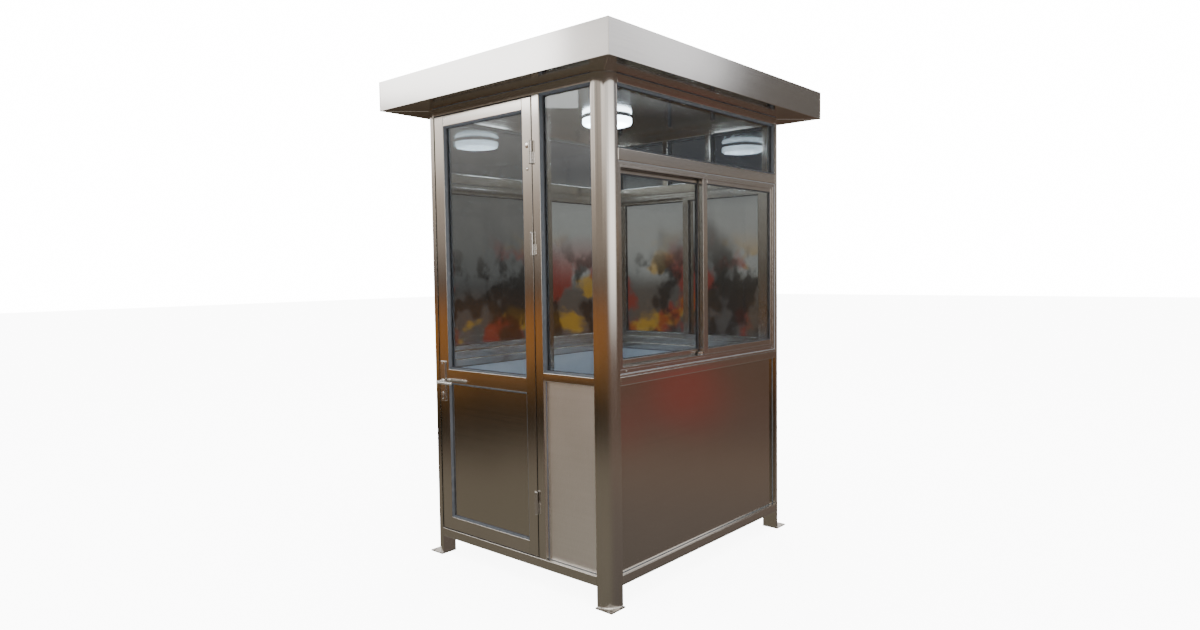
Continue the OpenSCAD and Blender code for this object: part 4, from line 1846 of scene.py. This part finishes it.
class Hall:
    """The tones of a made-up dim hall, by the direction that is looked in."""

    def __init__(self, graph: Graph) -> None:
        """Wires what all its tones share.

        Args:
            graph: the world's graph.
        """
        self.graph = graph
        self.direction = graph.node("ShaderNodeTexCoord", out="Generated")
        self.height = graph.part(self.direction, Axis.Z)
        self.low = (1.0 - self.height.ramp(-0.01, 0.06)) * self.height.ramp(-0.28, -0.21)
        self.things = self._patches((30.0, 30.0, 20.0), 6.0, (0.47, 0.56))

    def _ramp(self, stops: Sequence[Stop]) -> Value:
        """Returns a colour that runs through the stops from straight down to straight up."""
        return self.graph.node("ShaderNodeValToRGB", {"stops": stops}, {0: self.height * 0.5 + 0.5})

    def _patches(self, scale: Triple, detail: float, limits: Pair) -> Value:
        """Returns soft patches: noise that is cut off between two limits."""
        return self.graph.noise(self.direction, scale, detail).ramp(*limits)

    def _spot(self, bearing: float, elevation: float, size: float) -> Value:
        """Adds a soft round patch.

        Args:
            bearing: where it is, in degrees from +X towards +Y.
            elevation: how high it is, in degrees.
            size: its radius, in radians.

        Returns:
            1 in its middle, falling to 0 round it.
        """
        turn, tilt = math.radians(bearing), math.radians(elevation)
        centre = (math.cos(turn) * math.cos(tilt), math.sin(turn) * math.cos(tilt), math.sin(tilt))
        settings = {"operation": "DISTANCE"}
        away = self.graph.node("ShaderNodeVectorMath", settings, {0: self.direction, 1: centre}, out="Value")
        return away.ramp(size * 1.7, size * 0.3)

    def _edge(self, bearing: float, fade: Pair) -> Value:
        """Adds a soft edge at a bearing.

        Args:
            bearing: where it is, in degrees from +X towards +Y.
            fade: how far clockwise of it, as a sine, the outcome is 0 and 1.

        Returns:
            0 on one side of the edge and 1 on the other.
        """
        turn = math.radians(bearing)
        east, north = (self.graph.part(self.direction, axis) for axis in (Axis.X, Axis.Y))
        return (east * math.sin(turn) - north * math.cos(turn)).ramp(*fade)

    def _bright(self) -> Value:
        """Returns the tones of the lit end, which the front's steel mirrors."""
        floor_band = self.height.ramp(-0.20, -0.15)
        return self.graph.mix(
            self.things * self.low * floor_band * 0.35, self._ramp(BRIGHT_TONES), (0.05, 0.035, 0.022)
        )

    def _dim(self) -> Value:
        """Returns the tones of the dark end, with a red stain, a pale strip, a shade and a glow."""
        stain = self._spot(55.0, -8.6, 0.042) + self._spot(50.5, -11.0, 0.03) * 0.5
        band = self._edge(26.0, (0.0, 0.18)) * self._edge(-44.0, (0.0, -0.5)) * self.height.ramp(-0.12, 0.08)
        strip = self.graph.mix(self.height.ramp(0.12, 0.24), (3.0, 2.9, 2.8), (1.5, 1.46, 1.42))
        shaded = self._edge(57.0, (0.03, -0.05)) * self.height.ramp(0.10, 0.18)
        glow = self._edge(58.5, (-0.015, 0.03)) * self._edge(38.0, (0.0, -0.06))
        tone = self._ramp(DIM_TONES)
        for share, colour in (
            (stain * 0.8, (0.33, 0.07, 0.06)),
            (band, strip),
            (shaded, (0.13, 0.115, 0.10)),
            (glow * self.height.ramp(0.185, 0.235), (2.05, 2.05, 2.1)),
        ):
            tone = self.graph.mix(share, tone, colour)
        return tone

    def mirrored(self) -> Value:
        """Returns what polished surfaces mirror."""
        east, north = (self.graph.part(self.direction, axis) for axis in (Axis.X, Axis.Y))
        facing = east * -0.75 + north * -0.66
        dark = self._edge(-52.0, (0.0, 0.2)) * self._edge(-104.0, (0.0, -0.12))
        bands = self._patches((8.0, 8.0, 1.2), 2.0, (0.44, 0.62)) * self.height.ramp(0.02, 0.12)
        tone = self.graph.mix(facing.ramp(-0.7, 0.1), self._dim(), self._bright())
        tone = self.graph.mix(dark * self.height.ramp(-0.02, 0.08) * 0.8, tone, (0.34, 0.29, 0.24))
        return self.graph.mix(bands * 0.42, tone, (0.30, 0.27, 0.24))

    def behind(self) -> Value:
        """Returns what is seen through the glass: walls with red, yellow and black things before them."""
        walls = self._patches((9.0, 9.0, 5.0), 2.0, (0.42, 0.52))
        gold = self._patches((16.3, 15.1, 21.0), 5.0, (0.51, 0.59))
        red = self._patches((19.1, 18.7, 13.0), 5.0, (0.53, 0.61))
        tone = self._ramp(BEHIND_TONES)
        for share, colour in (
            ((1.0 - walls) * 0.8, (0.09, 0.085, 0.085)),
            (gold * self.low * 0.75, (0.55, 0.29, 0.03)),
            (red * self.low * 0.8, (0.30, 0.03, 0.02)),
            (self.things * self.low * 0.85, (0.018, 0.016, 0.016)),
        ):
            tone = self.graph.mix(share, tone, colour)
        return tone


@dataclass
class Studio:
    """The floor, the surroundings, the lights and the camera."""

    floor_half: float = 40.0
    floor_lift: float = 8.0
    backdrop: float = 16.0
    fill: float = 3.0
    camera_at: Triple = (2.7438, -3.2548, 1.4474)
    yaw: float = 0.7161
    pitch: float = -0.0539
    roll: float = -0.0135
    lens: float = 23.73
    sensor: float = 36.0
    boxes: tuple[SoftBox, ...] = (
        SoftBox("key_box", (-5.2, -5.0, 4.2), (0.0, 0.0, 2.2), (2.6, 1.2), 45.0),
        SoftBox("top_box", (1.4, -2.2, 6.6), (0.0, 0.0, 1.0), (4.0, 4.0), 300.0),
        SoftBox("back_box", (-3.2, 4.6, 4.4), (0.0, 0.0, 1.8), (2.4, 1.6), 150.0),
    )

    def build(self) -> None:
        """Makes everything that isn't the booth."""
        self._camera()
        self._floor()
        self._world()
        for box in self.boxes:
            box.build()

    def _camera(self) -> None:
        """Places the camera."""
        level = math.cos(self.pitch)
        forward = Vector((-math.sin(self.yaw) * level, math.cos(self.yaw) * level, math.sin(self.pitch)))
        right = Vector((math.cos(self.yaw), math.sin(self.yaw), 0.0))
        up = right.cross(forward)
        turn = Matrix((right, up, -forward)).transposed().to_4x4() @ Matrix.Rotation(self.roll, 4, "Z")
        data = bpy.data.cameras.new("camera")
        data.sensor_fit = "HORIZONTAL"
        data.sensor_width = self.sensor
        data.lens = self.lens
        camera = bpy.data.objects.new("camera", data)
        camera.matrix_world = Matrix.Translation(self.camera_at) @ turn
        bpy.context.scene.collection.objects.link(camera)
        bpy.context.scene.camera = camera

    def _floor(self) -> None:
        """Makes the plain floor, which gives way to the hall in reflections and through the glass."""
        mesh = bpy.data.meshes.new("floor")
        half = self.floor_half
        corners = [(-half, -half, 0), (half, -half, 0), (half, half, 0), (-half, half, 0)]
        mesh.from_pydata(corners, [], [(0, 1, 2, 3)])
        floor = bpy.data.objects.new("floor", mesh)
        bpy.context.scene.collection.objects.link(floor)
        material = bpy.data.materials.new("floor")
        material.use_nodes = True
        graph = Graph(material.node_tree)
        mottle = graph.noise(graph.coords(), (1.5, 1.5, 1.5), 4.0)
        sockets = {
            "Base Color": graph.mix(mottle, (0.80, 0.80, 0.80), (0.86, 0.86, 0.86)),
            "Roughness": 0.8,
            "Specular IOR Level": 0.0,
            "Emission Color": graph.mix(ray(graph, "Is Camera Ray"), (0.0, 0.0, 0.0), (1.0, 1.0, 1.0)),
            "Emission Strength": self.floor_lift,
        }
        plain = graph.node("ShaderNodeBsdfPrincipled", sockets=sockets)
        clear = graph.node("ShaderNodeBsdfTransparent")
        through = (ray(graph, "Transparent Depth") > 0.5) * ray(graph, "Is Camera Ray")
        indirect = ray(graph, "Is Glossy Ray") + through
        graph.surface(graph.node("ShaderNodeMixShader", sockets={0: indirect, 1: plain, 2: clear}))
        mesh.materials.append(material)

    def _world(self) -> None:
        """Makes a white backdrop with the tones of a dim hall in reflections and behind glass."""
        world = bpy.data.worlds.new("studio")
        world.use_nodes = True
        bpy.context.scene.world = world
        graph = Graph(world.node_tree)
        hall = Hall(graph)
        unseen = graph.mix(ray(graph, "Is Glossy Ray"), (self.fill,) * 3, hall.mirrored())
        seen = graph.mix(ray(graph, "Transparent Depth") > 0.5, (self.backdrop,) * 3, hall.behind())
        colour = graph.mix(ray(graph, "Is Camera Ray"), unseen, seen)
        background = graph.node("ShaderNodeBackground", sockets={0: colour, 1: 1.0})
        graph.surface(background, "ShaderNodeOutputWorld")


def main() -> None:
    """Builds the booth and its studio."""
    logging.basicConfig(level=logging.INFO, format="%(message)s")
    levels = Levels.from_frame()
    Studio().build()
    Posts(levels).build()
    Rails(levels).build()
    Infill(levels).build()
    for side in GLAZED:
        SlidingWindow(levels, side).build()
    Door(levels).build()
    Roof(levels).build()
    Cabin().build()


if __name__ == "__main__":
    main()
